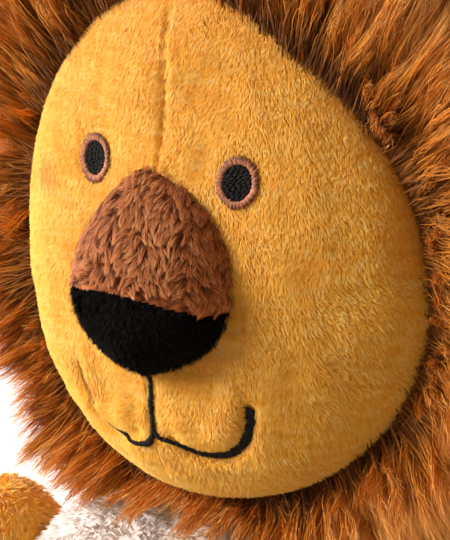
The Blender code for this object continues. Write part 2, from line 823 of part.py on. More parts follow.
def crown_point(share, turn):
    """The outside of the cap of long pile behind the head."""
    thick = CROWN_THICKNESS + (CROWN_CHIN_THICKNESS - CROWN_THICKNESS) * chin_share(turn)
    along = share / CROWN_START_SHARE
    dip = CROWN_DIP_SHARE * (1 - lock_height(turn, CROWN_LOCKS)) * along
    foot = lifted(back_surface, share, turn, SKIN_GAP)
    lean = along**CROWN_LEAN
    square = (foot - back_surface(share, turn)).normalized()
    aim = (square * (1 - lean) + away(foot) * lean).normalized() if share else square
    return foot + aim * (thick * (1 - dip))


def make_mane(neck):
    turns = angles(MANE_LOCKS * LOCK_STEPS, math.pi / 2)
    sections = [mane_section(a) for a in turns]
    rows = [[section[i] for section in sections] for i in range(len(sections[0]))]
    fringe = face_out(grid("mane_fringe", rows + [rows[0]], "mane_pile"))
    cut(fringe, neck)
    turns = angles(CROWN_LOCKS * CROWN_STEPS, math.pi / 2)
    shares = spread(CROWN_RINGS, CROWN_START_SHARE)
    outer = [[crown_point(s, a) for a in turns] for s in shares]
    inner = [[lifted(back_surface, s, a, SKIN_GAP) for a in turns] for s in shares]
    crown = face_out(grid("mane_crown", outer + inner[::-1], "mane_pile"))
    cut(crown, neck)
    return fringe, crown


# Ears


def ear_frame():
    """Where the left ear stands: its middle, and the directions across it, back and up."""
    up = Vector((math.sin(EAR_LEAN), 0, math.cos(EAR_LEAN)))
    across = Vector((math.cos(EAR_LEAN), 0, -math.sin(EAR_LEAN)))
    turn = math.atan2(up.z, up.x)
    middle = Vector((0, HEAD_Y, HEAD_Z))
    front = EAR_BACK - EAR_CUP - EAR_THICKNESS
    share = math.sqrt(1 - (front / BACK_DEPTH) ** 2)
    root = lifted(back_surface, share, turn, SKIN_GAP)
    foot = middle + up * (root - middle).dot(up)
    foot.y = HEAD_Y + EAR_BACK
    return foot + up * EAR_HALF_HEIGHT, across, Vector((0, 1, 0)), up


def ear_sheet(width, height, shift):
    """Points of a cupped oval on the left ear, shifted back."""
    centre, across, back, up = ear_frame()

    def point(share, turn):
        x, z = width * share * math.cos(turn), height * share * math.sin(turn)
        bend = EAR_CUP * ((x / EAR_HALF_WIDTH) ** 2 + (z / EAR_HALF_HEIGHT) ** 2)
        return centre + across * x + up * z + back * (shift - bend)

    return [[point(s, a) for a in angles(EAR_SIDES)] for s in EAR_SHARES]


def disc(name, front, behind, slot, collection=None):
    """A closed plate between two round sheets of points."""
    return face_out(grid(name, front + behind[::-1], slot, collection=collection))


def make_ears():
    half = EAR_THICKNESS / 2
    front = ear_sheet(EAR_HALF_WIDTH - half, EAR_HALF_HEIGHT - half, -half)
    behind = ear_sheet(EAR_HALF_WIDTH, EAR_HALF_HEIGHT, half)
    ear = disc("ear_left", front, behind, "golden_plush")
    wide, high = EAR_HALF_WIDTH * EAR_LINING_SHARE, EAR_HALF_HEIGHT * EAR_LINING_SHARE
    lining_at = -half - GAP - EAR_LINING
    front = ear_sheet(wide, high, lining_at)
    behind = ear_sheet(wide, high, lining_at + EAR_LINING)
    lining = disc("ear_lining_left", front, behind, "pale_plush")
    wide, high = EAR_HALF_WIDTH + SKIN_GAP, EAR_HALF_HEIGHT + SKIN_GAP
    front = ear_sheet(wide, high, -half - EAR_BACK)
    behind = ear_sheet(wide, high, half + SKIN_GAP)
    room = hide(disc("ear_room_left", front, behind, None, CUTTERS))
    others = [mirrored(ear, "ear_right"), mirrored(lining, "ear_lining_right")]
    return [ear, lining] + others, [room, hide(mirrored(room, "ear_room_right"))]


# Limbs


def limb_profile(length, top, bottom, rings):
    """Radius and height of a sausage with round ends, from its upper end down to its lower end."""
    points = []
    for i in range(rings + 1):
        along = length * (1 - math.cos(math.pi * i / rings)) / 2
        radius = top + (bottom - top) * along / length
        near_top, near_end = min(along / top, 1), min((length - along) / bottom, 1)
        radius *= math.sqrt(1 - (1 - near_top) ** 2) * math.sqrt(1 - (1 - near_end) ** 2)
        points.append((radius, -along))
    return points


def make_arm():
    """The left arm, with its pivot and the seat's outward direction."""
    out = arm_seat(1)
    down = Vector((math.sin(ARM_SEAT_LEAN), 0, -math.cos(ARM_SEAT_LEAN)))
    aim = down * math.cos(ARM_FORWARD) + FRONT * math.sin(ARM_FORWARD)
    aim = (aim * math.cos(ARM_OUT) + out * math.sin(ARM_OUT)).normalized()
    seat_x = (ARM_SEAT - ARM_Z * math.sin(ARM_SEAT_LEAN)) / math.cos(ARM_SEAT_LEAN)
    pivot = Vector((seat_x, ARM_Y, ARM_Z))
    shoulder = pivot + out * (ARM_RADIUS - ARM_PRESS)
    top = shoulder - aim * ARM_RADIUS
    spin = (-UP).rotation_difference(aim).to_matrix().to_4x4()
    place = Matrix.Translation(top) @ spin
    hole = rod("arm_hole", pivot, out, ROOT_HOLE, ARM_PRESS * 2)

    def skin(name, slot):
        arm = turned(name, limb_profile(ARM_LENGTH, ARM_RADIUS, PAW_RADIUS, ARM_RINGS), slot, ARM_SIDES)
        return face_out(triangulated(reshaped(arm, lambda p: pressed_out(place @ p, out, ARM_SEAT))))

    cover = skin("arm_cover_left", "golden_plush")
    fill = filling("arm_stuffing_left", cover, WALL + FILL_GAP)
    hollowed(cover, WALL, hole)
    return [cover, fill], pivot, out


def hollowed(cover, wall, hole):
    """Turns a closed skin into a shell of this wall with one hole through it."""
    inner = filling(cover.name + "_room", cover, wall)
    PARTS.objects.unlink(inner)
    CUTTERS.objects.link(inner)
    hide(inner)
    cut(cover, inner, hole)
    return cover


def leg_stations():
    """How far forward each section stands and how far it is closed, from the hip to the sole."""
    stations = []
    for a in angles(LEG_ROOT_STEPS, 0, math.pi / 2, closed=False):
        stations.append((LEG_ROOT_Y - LEG_ROOT_ROUND * (1 - math.cos(a)), math.sin(a)))
    hip, ankle = LEG_ROOT_Y - LEG_ROOT_ROUND, LEG_FRONT_Y + FOOT_LENGTH
    for i in range(1, LEG_STEPS + 1):
        stations.append((hip + (ankle - hip) * i / LEG_STEPS, 1))
    for i in range(1, FOOT_STEPS):
        stations.append((ankle - (FOOT_LENGTH - FOOT_ROUND) * i / FOOT_STEPS, 1))
    flat = math.asin(FOOT_FLAT_SHARE)
    round_radius = FOOT_ROUND / math.cos(flat)
    for a in angles(TOE_STEPS, math.pi / 2, flat - math.pi / 2, closed=False):
        stations.append((LEG_FRONT_Y + round_radius * (math.cos(flat) - math.cos(a)), math.sin(a)))
    return stations + [(LEG_FRONT_Y, 0)]


def make_leg():
    """The left leg, with its pivot and the seat's outward direction."""
    out = leg_seat(1)
    seat_y = (LEG_SEAT - LEG_X * out.x - LEG_ROOT_RADIUS * out.z) / out.y
    pivot = Vector((LEG_X, seat_y, LEG_ROOT_RADIUS))
    rows = []
    for y, close in leg_stations():
        share = (LEG_ROOT_Y - y) / (LEG_ROOT_Y - LEG_FRONT_Y)
        foot = (LEG_FRONT_Y + FOOT_LENGTH - y) / (FOOT_LENGTH - FOOT_ROUND)
        swell = (1 - math.cos(math.pi * min(max(foot, 0), 1))) / 2
        base = LEG_ROOT_RADIUS + (ANKLE_RADIUS - LEG_ROOT_RADIUS) * share
        wide = base + (FOOT_HALF_WIDTH - base) * swell
        high = base + (FOOT_HALF_HEIGHT - base) * swell
        middle = Vector((LEG_X + (LEG_FRONT_X - LEG_X) * share, y, high - FLAT_CUT))
        row = []
        for turn in angles(LEG_SIDES):
            offset = Vector((math.cos(turn) * wide * close, 0, math.sin(turn) * high * close))
            row.append(pressed_out(floored(middle + offset), out, LEG_SEAT))
        rows.append(row)
    cover = face_out(triangulated(grid("leg_cover_left", rows, "golden_plush")))
    fill = filling("leg_stuffing_left", cover, WALL + FILL_GAP)
    hollowed(cover, WALL, rod("leg_hole", pivot, out, ROOT_HOLE, WALL * 4))
    return [cover, fill, make_sole()], pivot, out


def make_sole():
    """The oval patch on the left foot's flat front."""
    behind = LEG_FRONT_Y - GAP
    wide = FOOT_HALF_WIDTH * SOLE_SHARE
    high = FOOT_HALF_HEIGHT * SOLE_SHARE

    def ring(share, y):
        return [
            Vector((
                LEG_FRONT_X + wide * share * math.cos(a),
                y,
                FOOT_HALF_HEIGHT - FLAT_CUT + high * share * math.sin(a),
            ))
            for a in angles(LEG_SIDES)
        ]

    rows = [ring(0, behind), ring(1, behind), ring(1, behind - SOLE_THICKNESS / 2)]
    rows += [ring(SOLE_EDGE_SHARE, behind - SOLE_THICKNESS), ring(0, behind - SOLE_THICKNESS)]
    return face_out(grid("foot_sole_left", rows, "pale_plush"))


# Tail


def tail_pivot():
    """The middle of the tail's round root, which stands just off the torso's back."""
    back = torso_radius(TAIL_ROOT_Z) * TORSO_DEPTH_SHARE
    return Vector((0, back + TAIL_RADIUS + 2 * GAP, TAIL_ROOT_Z))


def tail_path(share):
    """The middle line of the tail, from its root to its end in the tuft."""
    drop = TAIL_RADIUS - FLAT_CUT - TAIL_ROOT_Z
    start = tail_pivot()
    knots = [start + Vector((TAIL_ASIDE * x, TAIL_BACK * y, drop * z)) for x, y, z in TAIL_KNOT_SHARES]
    return smooth_through(knots, share)


def section(middle, along, radius, sides, lobes=0, dip=0.0):
    """A round section square to a direction, notched between its lobes, its lowest points floored."""
    across = along.cross(UP).normalized()
    over = across.cross(along)
    row = []
    for turn in angles(sides):
        notch = 1 - dip * (1 - lock_height(turn, lobes))
        offset = across * math.cos(turn) + over * math.sin(turn)
        row.append(floored(middle + offset * (radius * notch)))
    return row


def make_tail():
    def heading(share):
        ahead = tail_path(min(share + PATH_SHARE, 1))
        return (ahead - tail_path(max(share - PATH_SHARE, 0))).normalized()

    rows = []
    for a in angles(TAIL_ROOT_STEPS, 0, math.pi / 2):
        middle = tail_path(0) - heading(0) * (TAIL_RADIUS * math.cos(a))
        rows.append(section(middle, heading(0), TAIL_RADIUS * math.sin(a), TAIL_SIDES))
    for i in range(TAIL_RINGS + 1):
        share = i / TAIL_RINGS
        rows.append(section(tail_path(share), heading(share), TAIL_RADIUS, TAIL_SIDES))
    skin = outwards_from(triangulated(grid("tail_cover", rows, "golden_plush")), tail_pivot())
    fill = filling("tail_stuffing", skin, TAIL_WALL + FILL_GAP)
    shelled(skin, TAIL_WALL)

    along = heading(1)
    along.z = 0
    start = tail_path(1) + along * (2 * GAP)
    rows = []
    for i in range(TUFT_RINGS + 1):
        share = i / TUFT_RINGS
        if share < TUFT_FULL_SHARE:
            swell = math.sin(share / TUFT_FULL_SHARE * math.pi / 2)
            radius = TAIL_RADIUS + (TUFT_RADIUS - TAIL_RADIUS) * swell
        else:
            fade = (share - TUFT_FULL_SHARE) / (1 - TUFT_FULL_SHARE)
            radius = TUFT_RADIUS + (TUFT_TIP_RADIUS - TUFT_RADIUS) * fade
        middle = start + along * (TUFT_LENGTH * share)
        rows.append(section(middle, along, radius, TUFT_LOCKS * TUFT_STEPS, TUFT_LOCKS, TUFT_DIP_SHARE))
    tuft = face_out(grid("tail_tuft", rows, "brown_plush", ends="fan"))
    return [skin, fill, tuft], tail_pivot()


def outwards_from(obj, point):
    """Turns the faces of an open surface away from a point inside its first end."""
    work = bmesh.new()
    work.from_mesh(obj.data)
    bmesh.ops.recalc_face_normals(work, faces=work.faces)
    work.to_mesh(obj.data)
    work.free()
    first = obj.data.polygons[0]
    if first.normal.dot(first.center - point) < 0:
        obj.data.flip_normals()
    return obj


# Assembly


def hinge(name, pivot, axis, pieces):
    """Hangs the pieces of a moving body on an empty that stands on its joint's axis."""
    empty = bpy.data.objects.new(name, None)
    PARTS.objects.link(empty)
    empty.location = pivot
    for piece in pieces:
        piece.data.transform(Matrix.Translation(-pivot))
        piece.parent = empty
    print(name, "at", [round(c, 5) for c in pivot], "about", [round(c, 5) for c in axis])


def main():
    make_torso()
    head, neck = make_head()
    nose = make_nose()
    embroidery = make_embroidery()
    fringe, crown = make_mane(neck)
    ears, rooms = make_ears()
    cut(crown, *rooms)
    head += nose + embroidery + [fringe, crown] + ears
    hinge("head_pivot", Vector((0, 0, TORSO_HEIGHT)), UP, head)
    for kind, maker in (("arm", make_arm), ("leg", make_leg)):
        left, pivot, out = maker()
        right = [mirrored(piece, piece.name.replace("left", "right")) for piece in left]
        for word, side, pieces in (("left", 1, left), ("right", -1, right)):
            axis = Vector((-out.x, -side * out.y, -side * out.z))
            hinge(f"{kind}_pivot_{word}", Vector((side * pivot.x, pivot.y, pivot.z)), axis, pieces)
    pieces, pivot = make_tail()
    hinge("tail_pivot", pivot, UP, pieces)


main()
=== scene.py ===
"""Looks of the plush lion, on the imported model. Lengths are in millimetres until a mesh is made."""

import math

import bpy
import numpy as np
from mathutils import Matrix, Vector


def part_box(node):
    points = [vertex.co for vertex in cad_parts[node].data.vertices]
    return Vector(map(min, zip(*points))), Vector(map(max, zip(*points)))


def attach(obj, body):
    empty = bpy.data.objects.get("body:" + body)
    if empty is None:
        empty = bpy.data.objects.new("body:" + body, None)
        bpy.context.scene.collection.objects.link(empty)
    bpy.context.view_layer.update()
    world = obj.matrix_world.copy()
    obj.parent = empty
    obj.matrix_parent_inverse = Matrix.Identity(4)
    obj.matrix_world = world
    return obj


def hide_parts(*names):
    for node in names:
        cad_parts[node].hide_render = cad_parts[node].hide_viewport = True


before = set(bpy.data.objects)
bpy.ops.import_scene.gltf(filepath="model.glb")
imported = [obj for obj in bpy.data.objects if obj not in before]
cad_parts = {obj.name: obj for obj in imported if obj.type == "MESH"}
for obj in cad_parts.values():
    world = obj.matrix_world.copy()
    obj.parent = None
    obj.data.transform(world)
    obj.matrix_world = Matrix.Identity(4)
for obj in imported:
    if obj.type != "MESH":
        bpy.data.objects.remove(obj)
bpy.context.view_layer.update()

MM = 0.001
UP = np.array((0.0, 0.0, 1.0))
REARWARD = np.array((0.0, 1.0, 0.0))
SIDES = (("left", 1), ("right", -1))
FLOOR_GAP = 0.3  # no fibre hangs lower
TORSO_PILE = 2.2  # height of the torso's own pile

TORSO_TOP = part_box("body_cover")[1][2] / MM
HEAD = np.array((0.0, -23.0, TORSO_TOP + 52.0))  # middle of the face
BELLY_SEAM = -8.0  # the plane of the side seams
ARM_SEAT = 90.3  # distance of the arm's seat plane from the origin
LEG_SEAT = 49.3

FACE_HALF_WIDTH = 62.3
FACE_TOP = 61.3
FACE_BOTTOM = 55.8
FACE_TILT = math.radians(2.7)
FACE_DOME, DOME_POWER = 15.8, 2.4  # how far the face swells and how full
RIM_SWEEP = 8.2  # how far its rim stands back at the sides
BACK_DEPTH = 54.0
EYE_X, EYE_Z = 23.0, 25.5
NOSE_Z = -1.0
NOSE_HALF_WIDTH, NOSE_TOP, NOSE_BOTTOM = 23.2, 26.6, 19.5
NOSE_DEPTH, NOSE_TAPER = 15.0, 1.36
SMILE_X, SMILE_Z, SMILE_RADIUS = 13.6, -26.0, 14.0  # the arc of each half

MANE_REACH, CHIN_REACH = 31.0, 17.5  # how far the mane stands out from the face's rim
CROWN_DEPTH, NAPE_DEPTH = 24.0, 13.0  # how far it stands off the back of the head
LOCKS = 20
FRINGE_CLUMPS, EAR_CLUMPS, REAR_CLUMPS = 5200, 400, 1300
EAR_TURNS = (42, 138)


# Numbers and directions


def srgb(red, green, blue):
    """Linear colour of a colour given in 8-bit sRGB."""
    return tuple(((c / 255 + 0.055) / 1.055) ** 2.4 for c in (red, green, blue))


def unit(vectors):
    return vectors / np.maximum(np.linalg.norm(vectors, axis=-1, keepdims=True), 1e-9)


def drift(points, size, seed):
    """A smooth random number between about -1 and 1 at each point, changing over this distance."""
    rng = np.random.default_rng(seed)
    total = np.zeros(points.shape[:-1])
    for _ in range(9):
        wave = unit(rng.normal(size=3)) * rng.uniform(0.55, 1.5) * math.tau / size
        total += np.sin(points @ wave + rng.uniform(0, math.tau))
    return total / 3.2


def drifts(points, size, seed):
    """Three of them, as a direction."""
    return np.stack([drift(points, size, seed * 10 + i) for i in range(3)], axis=-1)


def near(distance, width):
    """1 on a line and 0 from this distance on, smoothly."""
    share = np.clip(1 - np.abs(distance) / width, 0, 1)
    return share * share * (3 - 2 * share)


# The face's shape


def seam_x(z):
    """Where the dart runs down the forehead."""
    return 0.8 * np.sin((z - 20) * 0.11)


def smile_distance(x, z):
    """How far a point of the face is from the nearer half of the smile."""
    x, z = np.abs(x) - SMILE_X, z - SMILE_Z
    turn = np.degrees(np.arctan2(z, x)) % 360
    ring = np.abs(np.hypot(x, z) - SMILE_RADIUS)
    on = (turn > 228) | (turn < 4)
    ends = np.minimum(np.hypot(x - 13.99, z - 0.5), np.hypot(x + 8.4, z + 11.2))
    return np.where(on, ring, ends)


def nose_reach(x, z):
    """1 on the outline of the nose, less inside it and more outside."""
    up = np.abs((z - NOSE_Z) / np.where(z > NOSE_Z, NOSE_TOP, NOSE_BOTTOM))
    wide = NOSE_HALF_WIDTH * np.sqrt(1 - np.clip(up, 0, 1) ** 2) ** NOSE_TAPER
    return np.where(up >= 1, 1.2, np.abs(x) / np.maximum(wide, 0.5))


def relief(x, z):
    """How far the cloth of the face is drawn in or stands out."""
    place = np.stack([x, z, 0 * x], axis=-1)
    lift = 0.55 * drift(place, 34, 5) + 0.22 * drift(place, 13, 6)
    lift += 0.13 * drift(place * np.array((0.2, 1.0, 0.0)), 3.4, 9) * np.clip((22 - z) / 12, 0, 1)
    high = np.clip((z - 25) / 8, 0, 1)
    pucker = 1 + 0.3 * np.sin(z * 1.9 + 2 * drift(place, 20, 8))
    lift -= 1.0 * near(x - seam_x(z), 1.9) * high * pucker
    lift -= 0.3 * near(x - seam_x(z), 8.0) * high
    lift += 0.25 * near(x - seam_x(z) - 2.6, 2.4) * high
    for side in (1, -1):
        eye = np.hypot(x - side * EYE_X, z - EYE_Z)
        lift -= 0.9 * near(eye, 10.5)
    crease = smile_distance(x, z)
    inside = np.clip((SMILE_RADIUS - np.hypot(np.abs(x) - SMILE_X, z - SMILE_Z)) / 1.5, -1, 1)
    aside = np.clip((np.abs(x) - 3.0) / 7.0, 0.25, 1)
    lift -= (1.7 - 0.8 * np.clip((-x - 5) / 3, 0, 1)) * near(crease, 3.0) * aside
    cheek = 1.1 - 0.3 * np.clip((-x - 2) / 4, 0, 1)
    lift += cheek * near(crease - 5.0, 5.0) * np.clip(inside, 0.25, 1) * aside
    lift -= 0.8 * near(x, 2.6) * np.clip((-z - 20) / 4, 0, 1) * np.clip((z + 39) / 3, 0, 1)
    return lift


def rim_reach(turn):
    """Height of the face's rim over the sine of its turn: the dart draws the forehead up to a peak."""
    high = np.maximum(np.sin(turn), 0)
    return np.where(high > 0, FACE_TOP * (1 + 0.11 * high**6), FACE_BOTTOM)


def face_point(x, z, lift=0.0, detail=True):
    """The point over x and z of the face's cloth, raised by lift."""
    aside = x / FACE_HALF_WIDTH
    reach = np.where(z > 0, FACE_TOP, FACE_BOTTOM)
    for _ in range(12):
        reach = rim_reach(np.arctan2(z / reach, aside))
    out = np.minimum(np.hypot(aside, z / reach), 1.0)
    swell = 1 - 0.6 * z / FACE_TOP
    dome = FACE_DOME * (1 - out**DOME_POWER) ** (1 / DOME_POWER) * swell
    if detail:
        calm = np.clip((1 - out) / 0.12, 0, 1)
        lift = lift + relief(x, z) * calm
    y = RIM_SWEEP * aside * aside - dome - lift
    cos, sin = math.cos(FACE_TILT), math.sin(FACE_TILT)
    return np.stack([x, y * cos - z * sin, y * sin + z * cos], axis=-1) + HEAD


def face_ring(share, turn, lift=0.0, detail=True):
    """A point of the face: share is 0 at its middle and 1 at its rim."""
    x = FACE_HALF_WIDTH * share * np.cos(turn)
    return face_point(x, rim_reach(turn) * share * np.sin(turn), lift, detail)


def back_ring(share, turn):
    """The back of the head: 0 at its middle, 1 at the face's rim."""
    rim = face_ring(np.ones_like(turn), turn, 0.0, False)
    share = np.asarray(share)[..., None]
    back = BACK_DEPTH * np.sqrt(np.maximum(1 - share**2, 0)) + 0.3
    return HEAD + (rim - HEAD) * share + back * REARWARD


def nose_point(share, turn, lift=0.0):
    """A point of the nose, 0 at its middle and 1 at its outline, and its x and z on the face."""
    reach = np.where(np.sin(turn) > 0, NOSE_TOP, NOSE_BOTTOM)
    narrow = np.sign(np.cos(turn)) * np.abs(np.cos(turn)) ** NOSE_TAPER
    x = NOSE_HALF_WIDTH * share * narrow
    z = NOSE_Z + reach * share * np.sin(turn)
    soft = 0.5 * drift(np.stack([x, z, 0 * x], axis=-1), 16, 31) * (1 - share**4)
    slim = 1 - 0.4 * np.clip(z / 24, 0, 1)
    swell = NOSE_DEPTH * slim * np.sqrt(np.maximum(1 - share**2, 0))
    return face_point(x, z, 0.3 + lift + soft + swell, False), x, z


def nose_split(x):
    """Height of the line where the nose's brown upper part meets its black lower part."""
    return 0.5 - 4.4 * (x / 22) ** 2


# Making meshes


def set_points(mesh, points):
    mesh.vertices.foreach_set("co", np.ascontiguousarray(points * MM, dtype=np.float32).ravel())


def to_mesh(name, points, corners, sizes):
    """A mesh from points in millimetres and faces given as one list of corners and their counts."""
    mesh = bpy.data.meshes.new(name)
    mesh.vertices.add(len(points))
    set_points(mesh, points)
    mesh.loops.add(len(corners))
    mesh.loops.foreach_set("vertex_index", np.ascontiguousarray(corners, dtype=np.int32))
    mesh.polygons.add(len(sizes))
    starts = np.concatenate([[0], np.cumsum(sizes)[:-1]]).astype(np.int32)
    mesh.polygons.foreach_set("loop_start", starts)
    mesh.update(calc_edges=True)
    mesh.validate()
    mesh.shade_smooth()
    return mesh


def linked(name, data):
    """A new object in the scene."""
    made = bpy.data.objects.new(name, data)
    bpy.context.scene.collection.objects.link(made)
    return made


def piece(name, mesh, paint, body, slot, *nodes, fill=None):
    """Puts a mesh into the scene as a named piece that rides on a body and stands for its nodes."""
    mesh.name = name
    made = linked(name, mesh)
    mesh.materials.clear()
    mesh.materials.append(paint)
    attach(made, body)
    if nodes:
        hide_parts(*nodes)
    return made


def polar_grid(count, columns, low, high):
    """Shares from low at the middle to high at the rim, and turns, each of shape (count, columns)."""
    turns = np.linspace(0, math.tau, columns, endpoint=False)[None, :]
    shares = np.clip(np.sin(np.linspace(0, 1, count) * math.pi / 2), low, high)[:, None]
    return shares + 0 * turns, turns + 0 * shares


def sheet_mesh(name, rows, flip=False):
    """Quads between closed rows of points, shape (rows, columns, 3)."""
    count, columns = rows.shape[:2]
    here = np.arange(count * columns).reshape(count, columns)
    after = np.roll(here, -1, axis=1)
    quads = np.stack([here[:-1], here[1:], after[1:], after[:-1]], axis=-1).reshape(-1, 4)
    if flip:
        quads = quads[:, ::-1]
    return to_mesh(name, rows.reshape(-1, 3), quads.ravel(), np.full(len(quads), 4))


def read(items, key, wide=1, kind=np.float32):
    """One value of all points, edges or faces of a mesh, in rows of this width."""
    values = np.empty(len(items) * wide, dtype=kind)
    items.foreach_get(key, values)
    return values.reshape(-1, wide) if wide > 1 else values


def arrays(mesh):
    """Points and vertex normals of a mesh, in millimetres, and its triangles."""
    points = read(mesh.vertices, "co", 3)
    normals = read(mesh.vertex_normals, "vector", 3)
    mesh.calc_loop_triangles()
    triangles = read(mesh.loop_triangles, "vertices", 3, np.int32)
    return points.astype(float) / MM, normals.astype(float), triangles


def along_skin(way, normal):
    """A direction laid flat on the skin."""
    return unit(way - normal * np.sum(way * normal, axis=1, keepdims=True))


def scatter(mesh, per_mm2, seed, keep=None):
    """Random places on a mesh, with the normals there."""
    points, normals, triangles = arrays(mesh)
    rng = np.random.default_rng(seed)
    a, b, c = (points[triangles[:, i]] for i in range(3))
    area = np.linalg.norm(np.cross(b - a, c - a), axis=1) / 2
    count = int(area.sum() * per_mm2)
    pick = rng.choice(len(area), count, p=area / area.sum())
    u, v = rng.random((2, count, 1))
    over = u + v > 1
    u, v = np.where(over, 1 - u, u), np.where(over, 1 - v, v)
    corner = triangles[pick]
    place = a[pick] + (b[pick] - a[pick]) * u + (c[pick] - a[pick]) * v
    normal = normals[corner[:, 0]] * (1 - u - v) + normals[corner[:, 1]] * u + normals[corner[:, 2]] * v
    if keep is not None:
        kept = keep(place)
        place, normal = place[kept], normal[kept]
    return place, unit(normal)


def mark(mesh, name, values):
    """Keeps one value for each point, which the material reads."""
    data = mesh.attributes.new(name, "FLOAT", "POINT").data
    data.foreach_set("value", np.ascontiguousarray(values, dtype=np.float32).ravel())


def strands(name, paths, width, facing, shade, roundness, taper=2.0):
    """Fibres as narrow ribbons that end in a point. paths has the shape (fibres, points, 3)."""
    count, steps = paths.shape[:2]
    along = unit(np.gradient(paths, axis=1))
    across = unit(np.cross(along, facing[:, None, :]))
    out = np.cross(across, along)
    share = np.linspace(0, 1, steps)
    half = np.broadcast_to(np.asarray(width), (count,))[:, None, None] / 2 * (1 - share**taper)[None, :, None]

    def ribbons(left, right, last):
        sides = np.stack([left[:, :-1], right[:, :-1]], axis=2).reshape(count, -1, 3)
        return np.concatenate([sides, last[:, -1:]], axis=1).reshape(-1, 3)

    points = ribbons(paths - across * half, paths + across * half, paths)
    normals = ribbons(unit(out - across * roundness), unit(out + across * roundness), out)
    size = 2 * steps - 1
    one = []
    for j in range(0, size - 3, 2):
        one += [j, j + 1, j + 3, j + 2]
    one = np.array(one + [size - 3, size - 2, size - 1])
    corners = (one[None, :] + size * np.arange(count)[:, None]).ravel()
    mesh = to_mesh(name, points, corners, np.tile([4] * (steps - 2) + [3], count))
    mesh.normals_split_custom_set_from_vertices(normals)
    rise = np.append(np.repeat(share[:-1], 2), 1.0)
    mark(mesh, "along", np.tile(rise, count))
    mark(mesh, "shade", np.repeat(shade, size))
    # Each fibre gets a cell of its own, so that its colours can be baked.
    cells = math.ceil(math.sqrt(count))
    spot = np.arange(count)[:, None]
    u = (spot % cells + np.array([0.15, 0.85] * (steps - 1) + [0.5])) / cells
    v = (spot // cells + (0.1 + 0.8 * rise)) / cells
    uv = np.stack([u, v], axis=-1).reshape(-1, 2)[corners].astype(np.float32)
    mesh.uv_layers.new(name="OFBake").uv.foreach_set("vector", uv.ravel())
    return mesh


def pile(
    name, mesh, per_mm2, length, width, comb, lean, seed, keep=None, tuft=0.5, tuft_size=2.2, mottle=0.28,
    stretch=(1.6, 1.0, 0.6), wild=0.0, lines=0.0, roundness=0.4, turned=0.25, wildness=1.0,
):
    """Short pile on a skin: fibres that lean along comb and gather in small tufts."""
    rng = np.random.default_rng(seed)
    place, normal = scatter(mesh, per_mm2, seed, keep)
    many = len(place)
    way = along_skin(comb(place) + 0.5 * drifts(place, 18, seed + 1), normal)
    angle = 1 + wildness * (0.25 * drift(place, 9, seed + 2) + 0.15 * rng.normal(size=many))
    angle = np.radians(lean) * angle
    aim = normal * np.cos(angle)[:, None] + way * np.sin(angle)[:, None]
    aim = unit(aim + tuft * drifts(place, tuft_size, seed + 3) + 0.12 * wildness * rng.normal(size=place.shape))
    long = length * rng.uniform(0.75, 1.15, many) * (1 + 0.12 * drift(place, tuft_size * 1.5, seed + 4))
    long = long * np.where(rng.random(many) < wild, rng.uniform(1.15, 1.6, many), 1.0)
    share = np.linspace(0, 1, 3)[None, :, None]
    bend = way[:, None, :] * (share**2) * 0.25
    paths = place[:, None, :] + (aim[:, None, :] * share + bend) * long[:, None, None]
    paths[..., 2] = np.maximum(paths[..., 2], FLOOR_GAP)
    streaks = drift(place * np.array(stretch), tuft_size, seed + 5)
    shade = 0.5 + mottle * streaks + 0.14 * wildness * rng.normal(size=many)
    # Painted light and shade: level streaks, lighter and darker, like those along the nap's creases.
    shade += lines * drift(place * np.array((0.12, 0.3, 1.0)), 2.6, seed + 6)
    facing = unit(normal + turned * rng.normal(size=place.shape))
    return strands(name, paths, width, facing, shade, roundness)


def threads(name, paths, radius, painted_end_shade=0.0, sides=6):
    """Round threads along paths of shape (threads, points, 3), closed at their ends."""
    count, steps = paths.shape[:2]
    along = unit(np.gradient(paths, axis=1))
    across = unit(np.cross(along, np.broadcast_to(-REARWARD, along.shape)))
    over = np.cross(across, along)
    turn = np.linspace(0, math.tau, sides, endpoint=False)
    thin = np.ones(steps)
    thin[[0, -1]] = 0.45
    ring = across[:, :, None, :] * np.cos(turn)[:, None] + over[:, :, None, :] * np.sin(turn)[:, None]
    points = (paths[:, :, None, :] + ring * (radius * thin[None, :, None, None])).reshape(-1, 3)
    one = []
    for j in range(0, (steps - 1) * sides, sides):
        for i in range(sides):
            after = (i + 1) % sides
            one += [j + i, j + after, j + sides + after, j + sides + i]
    one += list(range(sides))[::-1] + [(steps - 1) * sides + i for i in range(sides)]
    sizes = [4] * ((steps - 1) * sides) + [sides, sides]
    corners = (np.array(one)[None, :] + steps * sides * np.arange(count)[:, None]).ravel()
    mesh = to_mesh(name, points, corners, np.tile(sizes, count))
    rng = np.random.default_rng(count)
    # Painted shade: the second term darkens each thread towards its end, for the shadow of the pile that its end
    # sinks into.
    shade = rng.random((count, 1)) * (1 - painted_end_shade) + painted_end_shade * np.linspace(1, 0, steps)
    mark(mesh, "shade", np.repeat(shade, sides, axis=1))
    return mesh


def applied(obj):
    """The object's mesh with its modifiers applied and taken off."""
    graph = bpy.context.evaluated_depsgraph_get()
    mesh = bpy.data.meshes.new_from_object(obj.evaluated_get(graph))
    obj.modifiers.clear()
    return mesh


